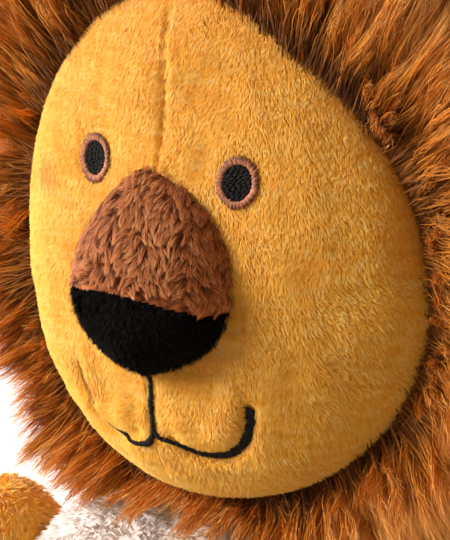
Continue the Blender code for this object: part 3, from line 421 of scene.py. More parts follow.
def soft_copy(nodes, voxel, smooth=6):
    """One closed skin round some nodes, as a mesh in metres: remeshed, smoothed and subdivided."""
    points, corners, sizes, offset = [], [], [], 0
    for node in nodes:
        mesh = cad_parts[node].data
        points.append(read(mesh.vertices, "co", 3))
        corners.append(read(mesh.loops, "vertex_index", kind=np.int32) + offset)
        sizes.append(read(mesh.polygons, "loop_total", kind=np.int32))
        offset += len(mesh.vertices)
    work = to_mesh("soft", np.concatenate(points) / MM, np.concatenate(corners), np.concatenate(sizes))
    obj = linked("soft", work)
    step = obj.modifiers.new("Voxel", "REMESH")
    step.mode = "VOXEL"
    step.voxel_size = voxel * MM
    step = obj.modifiers.new("Calm", "SMOOTH")
    step.iterations = smooth
    step.factor = 0.5
    obj.data = largest(applied(obj))
    step = obj.modifiers.new("Fine", "SUBSURF")
    step.levels = step.render_levels = 1
    mesh = applied(obj)
    bpy.data.objects.remove(obj)
    mesh.shade_smooth()
    return moved(mesh, lambda p, n: UP * np.maximum(-p[:, 2:], 0))


def largest(mesh):
    """The mesh with only its largest island left."""
    edges = read(mesh.edges, "vertices", 2, np.int32)
    group = np.arange(len(mesh.vertices))
    while True:
        low = np.minimum(group[edges[:, 0]], group[edges[:, 1]])
        fresh = group.copy()
        np.minimum.at(fresh, edges[:, 0], low)
        np.minimum.at(fresh, edges[:, 1], low)
        fresh = fresh[fresh]
        if (fresh == group).all():
            break
        group = fresh
    names, tally = np.unique(group, return_counts=True)
    return part_of(mesh, group == names[np.argmax(tally)])


def part_of(mesh, kept):
    """A new mesh of the faces whose points are all kept."""
    points = read(mesh.vertices, "co", 3)
    corners = read(mesh.loops, "vertex_index", kind=np.int32)
    sizes = read(mesh.polygons, "loop_total", kind=np.int32)
    starts = np.concatenate([[0], np.cumsum(sizes)[:-1]])
    whole = np.minimum.reduceat(kept[corners].astype(np.int32), starts) > 0
    mask = np.repeat(whole, sizes)
    used = np.unique(corners[mask])
    lookup = np.zeros(len(points), dtype=np.int64)
    lookup[used] = np.arange(len(used))
    return to_mesh(mesh.name, points[used].astype(float) / MM, lookup[corners[mask]], sizes[whole])


def moved(mesh, shift):
    """Moves each point of a mesh by shift(points, normals), in millimetres."""
    points, normals, _ = arrays(mesh)
    set_points(mesh, points + shift(points, normals))
    mesh.update()
    return mesh


# Materials


def look(name, roughness, sheen=0.0, tint=(1, 1, 1), shine=0.25):
    """A material, its node tree and its shader."""
    made = bpy.data.materials.new(name)
    made.use_nodes = True
    shader = made.node_tree.nodes["Principled BSDF"]
    shader.inputs["Roughness"].default_value = roughness
    shader.inputs["Specular IOR Level"].default_value = shine
    shader.inputs["Sheen Weight"].default_value = sheen
    shader.inputs["Sheen Tint"].default_value = (*tint, 1)
    shader.inputs["Sheen Roughness"].default_value = 0.5
    return made, made.node_tree, shader


def add(tree, kind, settings=None, **inputs):
    """A node with its settings. Inputs, named or numbered as i0, get values or sockets to link."""
    made = tree.nodes.new(kind)
    for key, value in (settings or {}).items():
        setattr(made, key, value)
    for key, value in inputs.items():
        socket = made.inputs[int(key[1:]) if key[0] == "i" and key[1:].isdigit() else key]
        if isinstance(value, bpy.types.NodeSocket):
            tree.links.new(value, socket)
        else:
            socket.default_value = value
    return made


def calc(tree, operation, *values):
    """The result of a Math node."""
    inputs = {f"i{place}": value for place, value in enumerate(values)}
    return add(tree, "ShaderNodeMath", {"operation": operation}, **inputs).outputs[0]


def mix(tree, share, first, second):
    """A colour between two."""
    return add(tree, "ShaderNodeMix", {"data_type": "RGBA"}, Factor=share, A=first, B=second).outputs["Result"]


def value_of(tree, name):
    """What mark() kept."""
    return add(tree, "ShaderNodeAttribute", {"attribute_name": name}).outputs["Fac"]


def object_place(tree):
    return add(tree, "ShaderNodeTexCoord").outputs["Object"]


def noise_in(tree, scale, detail):
    return add(tree, "ShaderNodeTexNoise", Vector=object_place(tree), Scale=scale, Detail=detail).outputs["Fac"]


def finished(made, tree, shader, colour, height=None, strength=0.0, distance=0.0):
    """The material with its colour and, where a height is given, its bump."""
    tree.links.new(colour, shader.inputs["Base Color"])
    if height is not None:
        bump = add(tree, "ShaderNodeBump", Height=height, Strength=strength, Distance=distance)
        tree.links.new(bump.outputs["Normal"], shader.inputs["Normal"])
    return made


def ramp(tree, source, stops):
    """Colours along a value: stops are (place, colour)."""
    made = tree.nodes.new("ShaderNodeValToRGB")
    tree.links.new(source, made.inputs["Fac"])
    while len(made.color_ramp.elements) < len(stops):
        made.color_ramp.elements.new(0.5)
    for element, (place, colour) in zip(made.color_ramp.elements, stops):
        element.position = place
        element.color = (*colour, 1)
    return made.outputs["Color"]


def fibre_look(
    name, stops, patch, roughness=0.85, sheen=0.25, tint=(1, 0.9, 0.7), patch_size=40.0, along=0.62, shine=0.25
):
    """Fibres darker at the root, which paints the shade deep in the pile, each with its own shade, over slow
    patches of another colour.
    """
    made, tree, shader = look(name, roughness, sheen, tint, shine)
    both = calc(tree, "MULTIPLY", value_of(tree, "along"), along)
    both = calc(tree, "MULTIPLY_ADD", value_of(tree, "shade"), 1 - along, both)
    noise = noise_in(tree, 1000 / patch_size, 3.0)
    amount = add(tree, "ShaderNodeMapRange", Value=noise, i1=0.35, i2=0.7, i3=0.0, i4=0.35).outputs[0]
    return finished(made, tree, shader, mix(tree, amount, ramp(tree, both, stops), (*patch, 1)))


def cloth_look(name, dark, light, size=1.6, sheen=0.3, tint=(1, 0.85, 0.6), shine=0.25):
    """Cloth under pile: mottled, with a fine bump."""
    made, tree, shader = look(name, 0.95, sheen, tint, shine)
    noise = noise_in(tree, 1000 / size, 4.0)
    colour = ramp(tree, noise, [(0.3, dark), (0.7, light)])
    return finished(made, tree, shader, colour, noise, 0.5, 0.0006)


def thread_look(name, dark, light, roughness=0.4, sheen=0.2, shine=0.3):
    """Embroidery thread: twisted, a little glossy, each stitch with its own shade."""
    made, tree, shader = look(name, roughness, sheen, shine=shine)
    noise = noise_in(tree, 3500.0, 2.0)
    both = calc(tree, "MULTIPLY_ADD", noise, 0.5, value_of(tree, "shade"))
    return finished(made, tree, shader, ramp(tree, both, [(0.3, dark), (1.1, light)]), noise, 0.35, 0.0002)


# The *_DEEP colours at the fibres' roots are painted shade deep in the pile; in the cloths they are the dark end
# of a random mottle.
GOLD_DEEP = srgb(244, 168, 38)
GOLD = srgb(255, 198, 70)
GOLD_PALE = srgb(255, 226, 140)
MANE_DEEP = srgb(68, 28, 2)
MANE = srgb(222, 136, 38)
MANE_PALE = srgb(255, 208, 130)
BROWN_DEEP = srgb(68, 26, 8)
BROWN = srgb(200, 114, 58)
BROWN_PALE = srgb(246, 182, 122)
BLACK_DEEP = srgb(3, 3, 3)
BLACK_PALE = srgb(40, 38, 36)
CREAM_DEEP = srgb(226, 212, 204)
CREAM = srgb(252, 244, 238)

gold_cloth = cloth_look("gold_cloth", srgb(244, 168, 42), srgb(255, 194, 66))
gold_pile = fibre_look(
    "gold_pile", [(0.22, GOLD_DEEP), (0.52, GOLD), (0.9, GOLD_PALE)], GOLD, sheen=0.45, tint=(1, 0.93, 0.78),
    patch_size=30, along=0.3,
)
# Painted shade: the cloth under the locks of the mane and of the tail's tuft is near black-brown, as the shade
# between the locks.
mane_shade_cloth = cloth_look("mane_shade_cloth", srgb(46, 17, 1), srgb(96, 42, 5), size=4, sheen=0.0, shine=0.05)
mane_fibre = fibre_look(
    "mane_fibre", [(0.2, MANE_DEEP), (0.52, MANE), (0.95, MANE_PALE)], MANE, roughness=0.7, sheen=0.15,
    tint=(1, 0.8, 0.55), along=0.6, shine=0.1,
)
brown_cloth = cloth_look("brown_cloth", BROWN_DEEP, BROWN, sheen=0.1)
brown_pile = fibre_look(
    "brown_pile", [(0.12, BROWN_DEEP), (0.5, BROWN), (0.95, BROWN_PALE)], BROWN, roughness=0.8, sheen=0.15,
    tint=(1, 0.8, 0.62),
)
black_cloth = cloth_look("black_cloth", BLACK_DEEP, BLACK_PALE, size=1.2, sheen=0.0, shine=0.02)
black_pile = fibre_look(
    "black_pile", [(0.2, BLACK_DEEP), (1.0, BLACK_PALE)], BLACK_DEEP, roughness=1.0, sheen=0.02, tint=(1, 1, 1),
    shine=0.02,
)
cream_cloth = cloth_look("cream_cloth", CREAM_DEEP, CREAM, tint=(1, 1, 1))
cream_pile = fibre_look("cream_pile", [(0.1, CREAM_DEEP), (1.0, CREAM)], CREAM, tint=(1, 1, 1))
black_thread = thread_look("black_thread", srgb(3, 3, 3), srgb(24, 23, 22), roughness=0.62, sheen=0.0, shine=0.1)
copper_thread = thread_look("copper_thread", srgb(70, 24, 8), srgb(222, 142, 98), roughness=0.55)

GOLDEN = gold_cloth, gold_pile, "golden_plush"
PALE = cream_cloth, cream_pile, "pale_plush"
BLACK = black_cloth, black_pile, "black_plush"


def grow(name, mesh, kind, body, *numbers, **options):
    """Pile on a skin, as a piece of its own."""
    _, fibre, slot = kind
    piece(name, pile(name, mesh, *numbers, **options), fibre, body, slot)


def plush(skin, fur, mesh, kind, body, nodes, fill, *numbers, **options):
    """A padded skin and the pile on it, as two pieces."""
    cloth, _, slot = kind
    piece(skin, mesh, cloth, body, slot, *nodes, fill=fill)
    grow(fur, mesh, kind, body, *numbers, **options)


# Camera and light


def set_view():
    """The photograph's camera: to the lion's left, a little above, close, with a long lens."""
    azimuth, elevation, roll = (math.radians(angle) for angle in (42.2, 15.0, -1.4))
    distance, focal_pixels, frame_height, sensor = 0.45, 1900, 540, 36.0
    level = math.cos(elevation)
    back = Vector((math.sin(azimuth) * level, -math.cos(azimuth) * level, math.sin(elevation)))
    level = Vector((math.cos(azimuth), math.sin(azimuth), 0))
    upright = back.cross(level)
    right = level * math.cos(roll) + upright * math.sin(roll)
    up = upright * math.cos(roll) - level * math.sin(roll)
    aim = Vector(HEAD * MM) + right * 0.00642 - up * 0.00104
    data = bpy.data.cameras.new("camera")
    data.sensor_width = sensor
    data.lens = focal_pixels / frame_height * sensor
    data.clip_start = 0.02
    camera = linked("camera", data)
    axes = Matrix((right, up, back)).transposed()
    camera.matrix_world = Matrix.Translation(aim + back * distance) @ axes.to_4x4()
    bpy.context.scene.camera = camera


def lamp(name, place, size, power, colour=(1, 1, 1)):
    """A round lamp that points at the lion."""
    data = bpy.data.lights.new(name, "AREA")
    data.shape = "DISK"
    data.size = size
    data.energy = power
    data.color = colour
    place = Vector(place)
    turned = (place - Vector((0, 0, 0.2))).to_track_quat("Z", "Y").to_matrix().to_4x4()
    linked(name, data).matrix_world = Matrix.Translation(place) @ turned


def seen(tree):
    """1 for what the camera sees, also by a mirror or through glass, and 0 for light on the object."""
    path = tree.nodes.new("ShaderNodeLightPath").outputs
    straight = calc(tree, "MAXIMUM", path["Is Camera Ray"], path["Is Glossy Ray"])
    return calc(tree, "MAXIMUM", straight, path["Is Transmission Ray"])


def set_light():
    lamp("key", (-1.2, -0.85, 0.8), 0.9, 42.0, (1.0, 0.98, 0.95))
    lamp("rim", (-1.4, 0.6, 0.5), 0.9, 33.0)
    lamp("fill", (1.2, -0.9, 0.7), 1.2, 0.5, (1.0, 0.72, 0.45))
    lamp("top", (-0.6, 0.4, 1.4), 1.0, 2.2)
    world = bpy.data.worlds.new("studio")
    bpy.context.scene.world = world
    world.use_nodes = True
    tree = world.node_tree
    tree.nodes.clear()
    camera = seen(tree)
    strength = add(tree, "ShaderNodeMapRange", Value=camera, i3=0.25, i4=1.0).outputs[0]
    tint = mix(tree, camera, (1.0, 0.75, 0.48, 1), (1, 1, 1, 1))
    shine = add(tree, "ShaderNodeBackground", Color=tint, Strength=strength)
    output = tree.nodes.new("ShaderNodeOutputWorld")
    tree.links.new(shine.outputs[0], output.inputs["Surface"])
    bpy.context.scene.view_settings.view_transform = "Standard"


def make_floor():
    """A pale floor that goes over into plain white far away."""
    corners = np.array([(-1, -1, 0), (1, -1, 0), (1, 1, 0), (-1, 1, 0)]) * 4000.0
    mesh = to_mesh("floor", corners, np.arange(4), np.array([4]))
    made, tree, shader = look("floor_paint", 0.85)
    away = add(tree, "ShaderNodeVectorMath", {"operation": "LENGTH"}, i0=object_place(tree)).outputs["Value"]
    far = add(tree, "ShaderNodeMapRange", {"interpolation_type": "SMOOTHSTEP"}, Value=away, i1=0.4, i2=1.0)
    camera = seen(tree)
    paint = mix(tree, camera, (0.5, 0.48, 0.46, 1), (0.93, 0.93, 0.93, 1))
    tree.links.new(paint, shader.inputs["Base Color"])
    amount = calc(tree, "MULTIPLY", far.outputs[0], camera)
    white = add(tree, "ShaderNodeEmission", Color=(1, 1, 1, 1), Strength=1.0).outputs[0]
    mixed = add(tree, "ShaderNodeMixShader", Fac=amount, i1=shader.outputs[0], i2=white)
    tree.links.new(mixed.outputs[0], tree.nodes["Material Output"].inputs["Surface"])
    mesh.materials.append(made)
    linked("floor", mesh)


# Head


def make_face():
    rows = face_ring(*polar_grid(110, 256, 0.002, 0.999))
    mesh = sheet_mesh("face_skin", np.concatenate([rows, rows[-1:] + 5.0 * REARWARD]))
    piece("face_skin", mesh, gold_cloth, "head", "golden_plush", "face_panel", fill=0.8)

    def free(place):
        """Where pile grows: not under the nose and not under the stitches."""
        x, z = place[:, 0], place[:, 2] - HEAD[2]
        kept = nose_reach(x, z) > 0.93
        for side in (1, -1):
            kept &= np.hypot(x - side * EYE_X, z - EYE_Z) > 5.35
        kept &= smile_distance(x, z) > 1.2
        return kept & ~((np.abs(x) < 0.95) & (z < -20) & (z > -37))

    def comb(place):
        """The nap runs down and outwards, and backwards at the lower rim."""
        x, z = place[:, 0], place[:, 2] - HEAD[2]
        out = np.hypot(x / FACE_HALF_WIDTH, z / FACE_BOTTOM)
        back = np.clip((out - 0.6) / 0.3, 0, 1) * np.clip((15 - z) / 15, 0, 1)
        return np.stack([0.012 * x, -0.15 + 1.1 * back, -1.0 - 0.004 * z], axis=-1)

    for number, (low, high) in enumerate(((-99, -26), (-26, 0), (0, 26), (26, 99))):
        grow(
            f"face_pile_{number}", mesh, GOLDEN, "head", 14.0, 1.0, 0.19, comb, 50, 101 + number,
            lambda place: free(place) & (place[:, 0] > low) & (place[:, 0] <= high), tuft=0.12, tuft_size=1.1,
            mottle=0.18, stretch=(0.6, 1.0, 1.0), wild=0.008, lines=0.12, roundness=0.05, turned=0.04,
            wildness=0.35,
        )


def make_nose():
    share, turn = polar_grid(60, 160, 0.003, 1)
    _, x, z = nose_point(share, turn)
    sunk = 0.9 + 0.7 * np.clip((z - nose_split(x)) / 4, 0, 1)
    rows, x, z = nose_point(share, turn, -sunk)
    edge, x_edge, z_edge = nose_point(np.ones_like(turn[:1]), turn[:1], -0.9)
    rows = np.concatenate([rows, edge + 2.5 * REARWARD])
    x = np.concatenate([x, x_edge])
    z = np.concatenate([z, z_edge])
    mesh = sheet_mesh("nose_skin", rows)
    bridge = part_of(mesh, (z > nose_split(x) - 1.6).ravel())
    black = part_of(mesh, (z < nose_split(x) + 1.0).ravel())
    piece(
        "nose_bridge_skin", bridge, brown_cloth, "head", "brown_plush", "nose_bridge", "nose_stuffing", fill=0.9
    )
    piece("nose_tip_skin", black, black_cloth, "head", "black_plush", "nose_tip", fill=0.9)

    def upper(place):
        x, z = place[:, 0], place[:, 2] - HEAD[2]
        return z > nose_split(x) + 1.5 + 0.5 * drift(place, 3, 40)

    def lower(place):
        return place[:, 2] - HEAD[2] < nose_split(place[:, 0]) + 1.0

    def comb(place):
        x = place[:, 0]
        return np.stack([0.03 * x, -0.35 + 0 * x, -1.0 + 0 * x], axis=-1)

    place, normal = scatter(bridge, 0.75, 202, upper)
    inner = np.clip(1.1 - nose_reach(place[:, 0], place[:, 2] - HEAD[2]), 0.0, 0.45)[:, None] / 0.45
    middle = HEAD + np.array((0.0, -22.0, -2.0))
    way = 1.0 * comb(place) + 0.9 * drifts(place, 9, 204) + (1 - inner) * 0.8 * unit(middle - place)
    way = along_skin(way, normal)
    rng = np.random.default_rng(205)
    tip = place + (normal * (0.3 + 1.1 * inner) + way * 3.3) * rng.uniform(0.7, 1.15, (len(place), 1))
    for number, chosen in enumerate(np.array_split(np.argsort(place[:, 0]), 2)):
        name = f"nose_bridge_pile_{number}"
        made = clumps(
            name, place[chosen], tip[chosen], normal[chosen] * 0.6, normal[chosen], 34, 206 + number, 0.15,
            steps=6, spread=1.3, close=0.14, wave=0.5, own_shade=0.24, roundness=0.3, turned=0.2,
        )
        piece(name, made, brown_pile, "head", "brown_plush")
    grow(
        "nose_tip_pile", black, BLACK, "head", 8.0, 1.4, 0.24, comb, 34, 203, lower, tuft=0.3, tuft_size=1.6,
        mottle=0.3, wild=0.05,
    )


def stitches(name, starts, ends, radius, rise, seed=0, painted_end_shade=0.0, sink=0.0):
    """Satin stitches from start to end, (x, z) on the face, that bow out by rise in their middle."""
    rng = np.random.default_rng(seed)
    starts = starts + rng.normal(size=starts.shape) * 0.06
    ends = ends + rng.normal(size=ends.shape) * 0.06
    share = np.linspace(0, 1, 5)
    flat = starts[:, None, :] + (ends - starts)[:, None, :] * share[None, :, None]
    lift = 0.6 + rise * np.sqrt(np.maximum(1 - (2 * share - 1) ** 2, 0))
    lift = lift[None, :] + 0.05 * rng.normal(size=(len(starts), 1)) - np.reshape(sink, (-1, 1))
    return threads(name, face_point(flat[..., 0], flat[..., 1], lift), radius, painted_end_shade)


def tatami(centre, radius, tilt, gap, length, seed):
    """Rows of short stitches that fill a disc, each row set off against the one before."""
    rng = np.random.default_rng(seed)
    run = np.array((math.cos(tilt), math.sin(tilt)))
    aside = np.array((-run[1], run[0]))
    starts, ends = [], []
    for offset in np.arange(-radius + gap / 2, radius, gap):
        half = math.sqrt(max(radius**2 - offset**2, 0.0))
        for low in np.arange(-half - length * rng.uniform(0.1, 0.9), half, length):
            first, last = max(low, -half), min(low + length + 0.15, half)
            if last - first > 0.3:
                starts.append(centre + aside * offset + run * first)
                ends.append(centre + aside * (offset + rng.uniform(-0.12, 0.12)) + run * last)
    return np.array(starts), np.array(ends)


def on_circle(turn):
    return np.stack([np.cos(turn), np.sin(turn)], axis=-1)


def make_eye(word, side):
    turn = np.linspace(0, math.tau, 130, endpoint=False)
    rng = np.random.default_rng(51 + side)
    inner = 3.65 + rng.uniform(0, 0.3, (len(turn), 1))
    outer = 5.75 + rng.uniform(-0.35, 0.35, (len(turn), 1))
    centre = np.array((side * EYE_X, EYE_Z))
    starts, ends = centre + on_circle(turn) * inner, centre + on_circle(turn + 0.09) * outer
    name = f"eye_ring_{word}_stitches"
    # The ring's stitches run outwards and are painted darker towards their outer ends, as the shade where the
    # ring sinks under the face's pile.
    mesh = stitches(name, starts, ends, 0.17, 0.42, 11 + side, painted_end_shade=0.6)
    piece(name, mesh, copper_thread, "head", "copper_thread", f"eye_ring_{word}")
    name = f"eye_pupil_{word}_stitches"
    starts, ends = tatami(centre, 3.95, math.radians(12), 0.36, 1.5, 61 + side)
    mesh = stitches(name, starts, ends, 0.22, 0.38, 21 + side)
    piece(name, mesh, black_thread, "head", "black_thread", f"eye_pupil_{word}")


def make_smile(word, side):
    """From the line under the nose through a few knots and on along the arc."""
    turn = np.radians(np.linspace(238 if side > 0 else 262, 362, 90))
    path = np.array((SMILE_X, SMILE_Z)) + SMILE_RADIUS * on_circle(turn)
    if side > 0:
        knots = np.array([(0.3, -35.9), (1.6, -36.8), (3.6, -37.3), path[0]])
    else:
        knots = np.array([(0.1, -36.9), (0.5, -38.2), (2.0, -39.4), (5.0, -40.3), (8.5, -40.7), path[0]])
    run = np.concatenate([[0], np.cumsum(np.linalg.norm(np.diff(knots, axis=0), axis=1))])
    at = np.arange(0, run[-1], 0.36)
    joined = np.stack([np.interp(at, run, knots[:, 0]), np.interp(at, run, knots[:, 1])], axis=-1)
    path = np.concatenate([joined, path])
    for _ in range(12):
        path[1:-1] = (path[:-2] + 2 * path[1:-1] + path[2:]) / 4
    path[:, 0] *= side
    way = unit(np.gradient(path, axis=0))
    across = np.stack([-way[:, 1], way[:, 0]], axis=-1)
    share = np.linspace(0, 1, len(path))
    width, sink = 0.85 + 1.6 * share**1.1, 0.0
    if side < 0:
        width = 0.6 + 1.1 * near(share - 0.07, 0.12) + 0.5 * share
        sink = 0.9 * np.clip((share - 0.16) / 0.2, 0, 1)
    ragged = np.random.default_rng(71 + side).uniform(0.8, 1.2, (2, len(path), 1))
    half = (across + way * 0.25) * width[:, None] / 2
    name = f"smile_{word}_stitches"
    mesh = stitches(name, path - half * ragged[0], path + half * ragged[1], 0.25, 0.5, 31 + side, sink=sink)
    piece(name, mesh, black_thread, "head", "black_thread", f"smile_{word}")


def make_embroidery():
    for word, side in SIDES:
        make_eye(word, side)
        make_smile(word, side)
    z = np.linspace(-21.0, -37.2, 44)
    x = 0.12 * np.sin(z * 0.7)
    ragged = np.random.default_rng(43).uniform(0.62, 0.92, (2, len(z)))
    starts = np.stack([x - ragged[0], z + 0.12], axis=-1)
    ends = np.stack([x + ragged[1], z - 0.12], axis=-1)
    mesh = stitches("philtrum_stitches", starts, ends, 0.24, 0.5, 41)
    piece("philtrum_stitches", mesh, black_thread, "head", "black_thread", "philtrum")


# Mane


def locks(turn, count):
    """1 at the tips of the mane's locks and 0 in the notches between them."""
    part = (turn * count / math.tau) % 1.0
    return (1 - np.abs(2 * part - 1)) ** 0.8


def outward(turn):
    """Away from the middle of the face, in its plane."""
    rim = face_ring(np.ones_like(turn), turn, 0.0, False) - HEAD
    rim[..., 1] = 0
    return unit(rim)


def polar_bins(place):
    """Steps of 6 degrees and 3 mm round the neck's axis."""
    turn = (np.degrees(np.arctan2(place[..., 1], place[..., 0])) % 360 // 6).astype(int) % 60
    return turn, np.minimum(np.hypot(place[..., 0], place[..., 1]) // 3, 39).astype(int)


def shoulder_heights():
    """Height of the torso's top in each bin, the highest that a turn of the head meets."""
    heights = np.zeros((60, 40))
    for node in ("body_cover", "belly_panel"):
        place, _ = scatter(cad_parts[node].data, 1.2, 90)
        turn, far = polar_bins(place)
        np.maximum.at(heights, (turn, far), place[:, 2])
    heights = np.max([np.roll(heights, step, axis=0) for step in range(-4, 5)], axis=0)
    heights[:, 1:-1] = np.max([heights[:, :-2], heights[:, 1:-1], heights[:, 2:]], axis=0)
    return heights


def rest_height(paths, heights):
    """How low long pile of the head may hang: it lies on the torso's own pile."""
    turn, far = polar_bins(paths)
    return np.where(heights[turn, far] > 0, heights[turn, far] + TORSO_PILE, FLOOR_GAP)


def clumps(
    name, roots, tips, sway, normals, count, seed, width, steps=7, spread=2.6, close=0.9, wave=1.1,
    own_shade=0.13, frizz=0.0, roundness=0.6, turned=0.4, painted_shade=0.0, rest=None,
):
    """Locks of long pile: count fibres in each, spread at the root and close together at the tip."""
    rng = np.random.default_rng(seed)
    many, total = len(roots), len(roots) * count
    share = np.linspace(0, 1, steps)
    root = np.repeat(roots, count, axis=0) + rng.normal(size=(total, 3)) * spread * 0.5
    tip = np.repeat(tips, count, axis=0)
    long = np.linalg.norm(tip - root, axis=1, keepdims=True)
    reach = rng.uniform(0.72, 1.06, (total, 1))
    tip = root + (tip - root) * reach + rng.normal(size=(total, 3)) * close
    bend = np.repeat(sway, count, axis=0) * rng.uniform(0.6, 1.3, (total, 1))
    middle = (root + tip) / 2 + bend
    s = share[None, :, None]
    paths = root[:, None] * (1 - s) ** 2 + middle[:, None] * 2 * s * (1 - s) + tip[:, None] * s**2
    phase = np.repeat(rng.uniform(0, math.tau, (many, 2)), count, axis=0)
    along = unit(tip - root)
    side = unit(np.cross(along, UP + 0.01))
    over = np.cross(side, along)
    ripple = wave * (0.3 + share)[None, :] * np.minimum(long / 25, 1)
    curl = np.sin(share[None, :] * 5.2 + phase[:, :1]) * ripple
    kink = np.cos(share[None, :] * 4.1 + phase[:, 1:]) * ripple * 0.7
    gain = np.sin(share * math.pi / 2)[None, :]
    loose = np.sin(share[None, :] * 8.0 + rng.uniform(0, math.tau, (total, 1))) * frizz * np.minimum(long / 22, 1)
    curl, kink = curl + loose, kink + loose[::-1]
    paths = paths + side[:, None] * (curl * gain)[..., None] + over[:, None] * (kink * gain)[..., None]
    paths[..., 2] = np.maximum(paths[..., 2], FLOOR_GAP if rest is None else rest_height(paths, rest))
    # The offset added to each lock is painted shade: whole locks are made darker where other locks or the face
    # shade them.
    own = np.repeat(rng.normal(size=many) * own_shade + painted_shade, count) + rng.normal(size=total) * 0.12
    facing = unit(np.repeat(normals, count, axis=0) + turned * rng.normal(size=(total, 3)))
    return strands(name, paths, width * rng.uniform(0.7, 1.2, total), facing, 0.5 + own, roundness, 2.6)


def band_root(turn, deep, lift):
    """A place on the side of the head: deep is 0 at the face's rim and 1 at the mane's rear seam."""
    share = np.sqrt(1 - (0.48 * deep) ** 2)
    return back_ring(share, turn) + outward(turn) * lift


def mane_reach(turn):
    """How far the mane stands out from the face's rim: less below the chin."""
    return MANE_REACH + (CHIN_REACH - MANE_REACH) * np.maximum(-np.sin(turn), 0) ** 3


def make_mane_core():
    """Cloth between the locks' roots, from the face's rim outwards and back, painted dark as the shade between
    the locks.
    """
    turns = np.linspace(0, math.tau, 240, endpoint=False)
    rim = face_ring(np.full_like(turns, 0.985), turns, -0.8, False)
    bumps = 1 + 0.14 * drift(rim, 12, 302)
    section = ((0.0, -5.5), (0.06, -4.5), (0.2, -2.0), (0.34, -1.5), (0.42, -7.0), (0.38, -15.0), (0.2, -25.0))
    rows = []
    for far, ahead in section:
        point = rim + outward(turns) * (mane_reach(turns) * far * bumps)[:, None]
        point[:, 1] -= ahead * bumps
        rows.append(point)
    mesh = sheet_mesh("mane_core", np.stack(rows))
    piece("mane_core", mesh, mane_shade_cloth, "head", "mane_pile")


def make_fringe():
    """The locks round the face. The first of them fill the ears' corners and the next the rear of the band."""
    rng = np.random.default_rng(301)
    many = FRINGE_CLUMPS
    turn = rng.uniform(0, math.tau, many)
    deep = rng.uniform(0, 1, many) ** 1.6
    at_ear = np.arange(EAR_CLUMPS)
    turn[at_ear] = np.radians(np.where(at_ear % 2, *EAR_TURNS) + 12 * rng.normal(size=EAR_CLUMPS))
    deep[at_ear] = rng.uniform(0.06, 0.5, EAR_CLUMPS)
    deep[EAR_CLUMPS : EAR_CLUMPS + REAR_CLUMPS] = rng.uniform(0.5, 1.0, REAR_CLUMPS)
    root = band_root(turn, deep, 0.3)
    out = outward(turn)
    short = deep < 0.12  # beside the face
    over = np.clip(np.sin(turn) * 3 - 1.5, 0, 1)  # above it
    level = 1 - 0.6 * np.cos(turn) ** 4  # less where the locks stand out sideways
    edge = face_ring(np.full_like(turn, 0.99), turn, 0.3, False) + out * (2.8 - 2.2 * over)[:, None]
    root[short] = (edge + REARWARD * (3.2 - 2.6 * over)[:, None])[short]
    corner = near(np.degrees(turn) - EAR_TURNS[0], 42) + near(np.degrees(turn) - EAR_TURNS[1], 42)
    notch = (0.2 - 0.12 * corner) * (1 - locks(turn, LOCKS))
    reach = (mane_reach(turn) + 10.0 * corner) * (1 - notch)
    layer = np.where(short, rng.uniform(-0.9, 0.6, many), rng.uniform(0.0, 1.0, many) ** 0.6)
    depths = (0, 0.25, 0.5, 0.8, 1)
    far = np.interp(deep, depths, (0.95, 1.0, 1.03, 0.97, 0.86)) * (0.62 + 0.38 * layer)
    ahead = np.interp(deep, depths, (11.0, 10.0, 5.0, -8.0, -17.0)) * rng.uniform(0.6, 1.2, many)
    ahead = np.where(short, ahead * (0.1 + 0.9 * over), ahead) * level
    rim = face_ring(np.full_like(turn, 0.985), turn, 0.8, False)
    tip = rim + out * (reach * far)[:, None]
    tip[:, 1] -= ahead * np.clip(far, 0.3, 1)
    droop = np.abs(np.cos(turn)) * (np.sin(turn) < 0.3)
    tip[:, 2] += (4.5 * np.maximum(np.sin(turn), 0) + 5.0 * corner - 8.0 * droop) * far
    tip += 3.4 * drifts(tip, 20, 303) + rng.normal(size=(many, 3)) * 1.5
    bold = (np.where(short, 0.1 + 0.7 * over, 1.0) * level)[:, None]
    sway = out * 1.5 + np.array((0.0, -4.0, 0.8)) * bold
    # Painted shade: the short locks beside the face, the inner layers under the outer locks and the front locks
    # at the face's sides, where the face shades them, are darker.
    painted_shade = np.where(short, -0.2, -0.14 * (1 - layer)) - 0.16 * np.cos(turn) ** 4 * (deep < 0.35)
    facing = unit(out + np.array((0.0, -0.9, 0.25)))
    heights = shoulder_heights()
    for number, chosen in enumerate(np.array_split(np.argsort(turn), 9)):
        name = f"mane_fringe_{number}"
        mesh = clumps(
            name, root[chosen], tip[chosen], sway[chosen], facing[chosen], 28, 310 + number, 0.27, spread=2.4,
            close=0.5, wave=1.5, own_shade=0.18, frizz=0.45, roundness=0.4, turned=0.25, painted_shade=painted_shade[chosen],
            rest=heights,
        )
        piece(name, mesh, mane_fibre, "head", "mane_pile", *(("mane_fringe",) if number == 0 else ()))


def crown_thickness(points):
    """How far the mane stands off the back of the head."""
    return CROWN_DEPTH + (NAPE_DEPTH - CROWN_DEPTH) * np.clip(-(points[:, 2] - HEAD[2]) / 50, 0, 1) ** 3


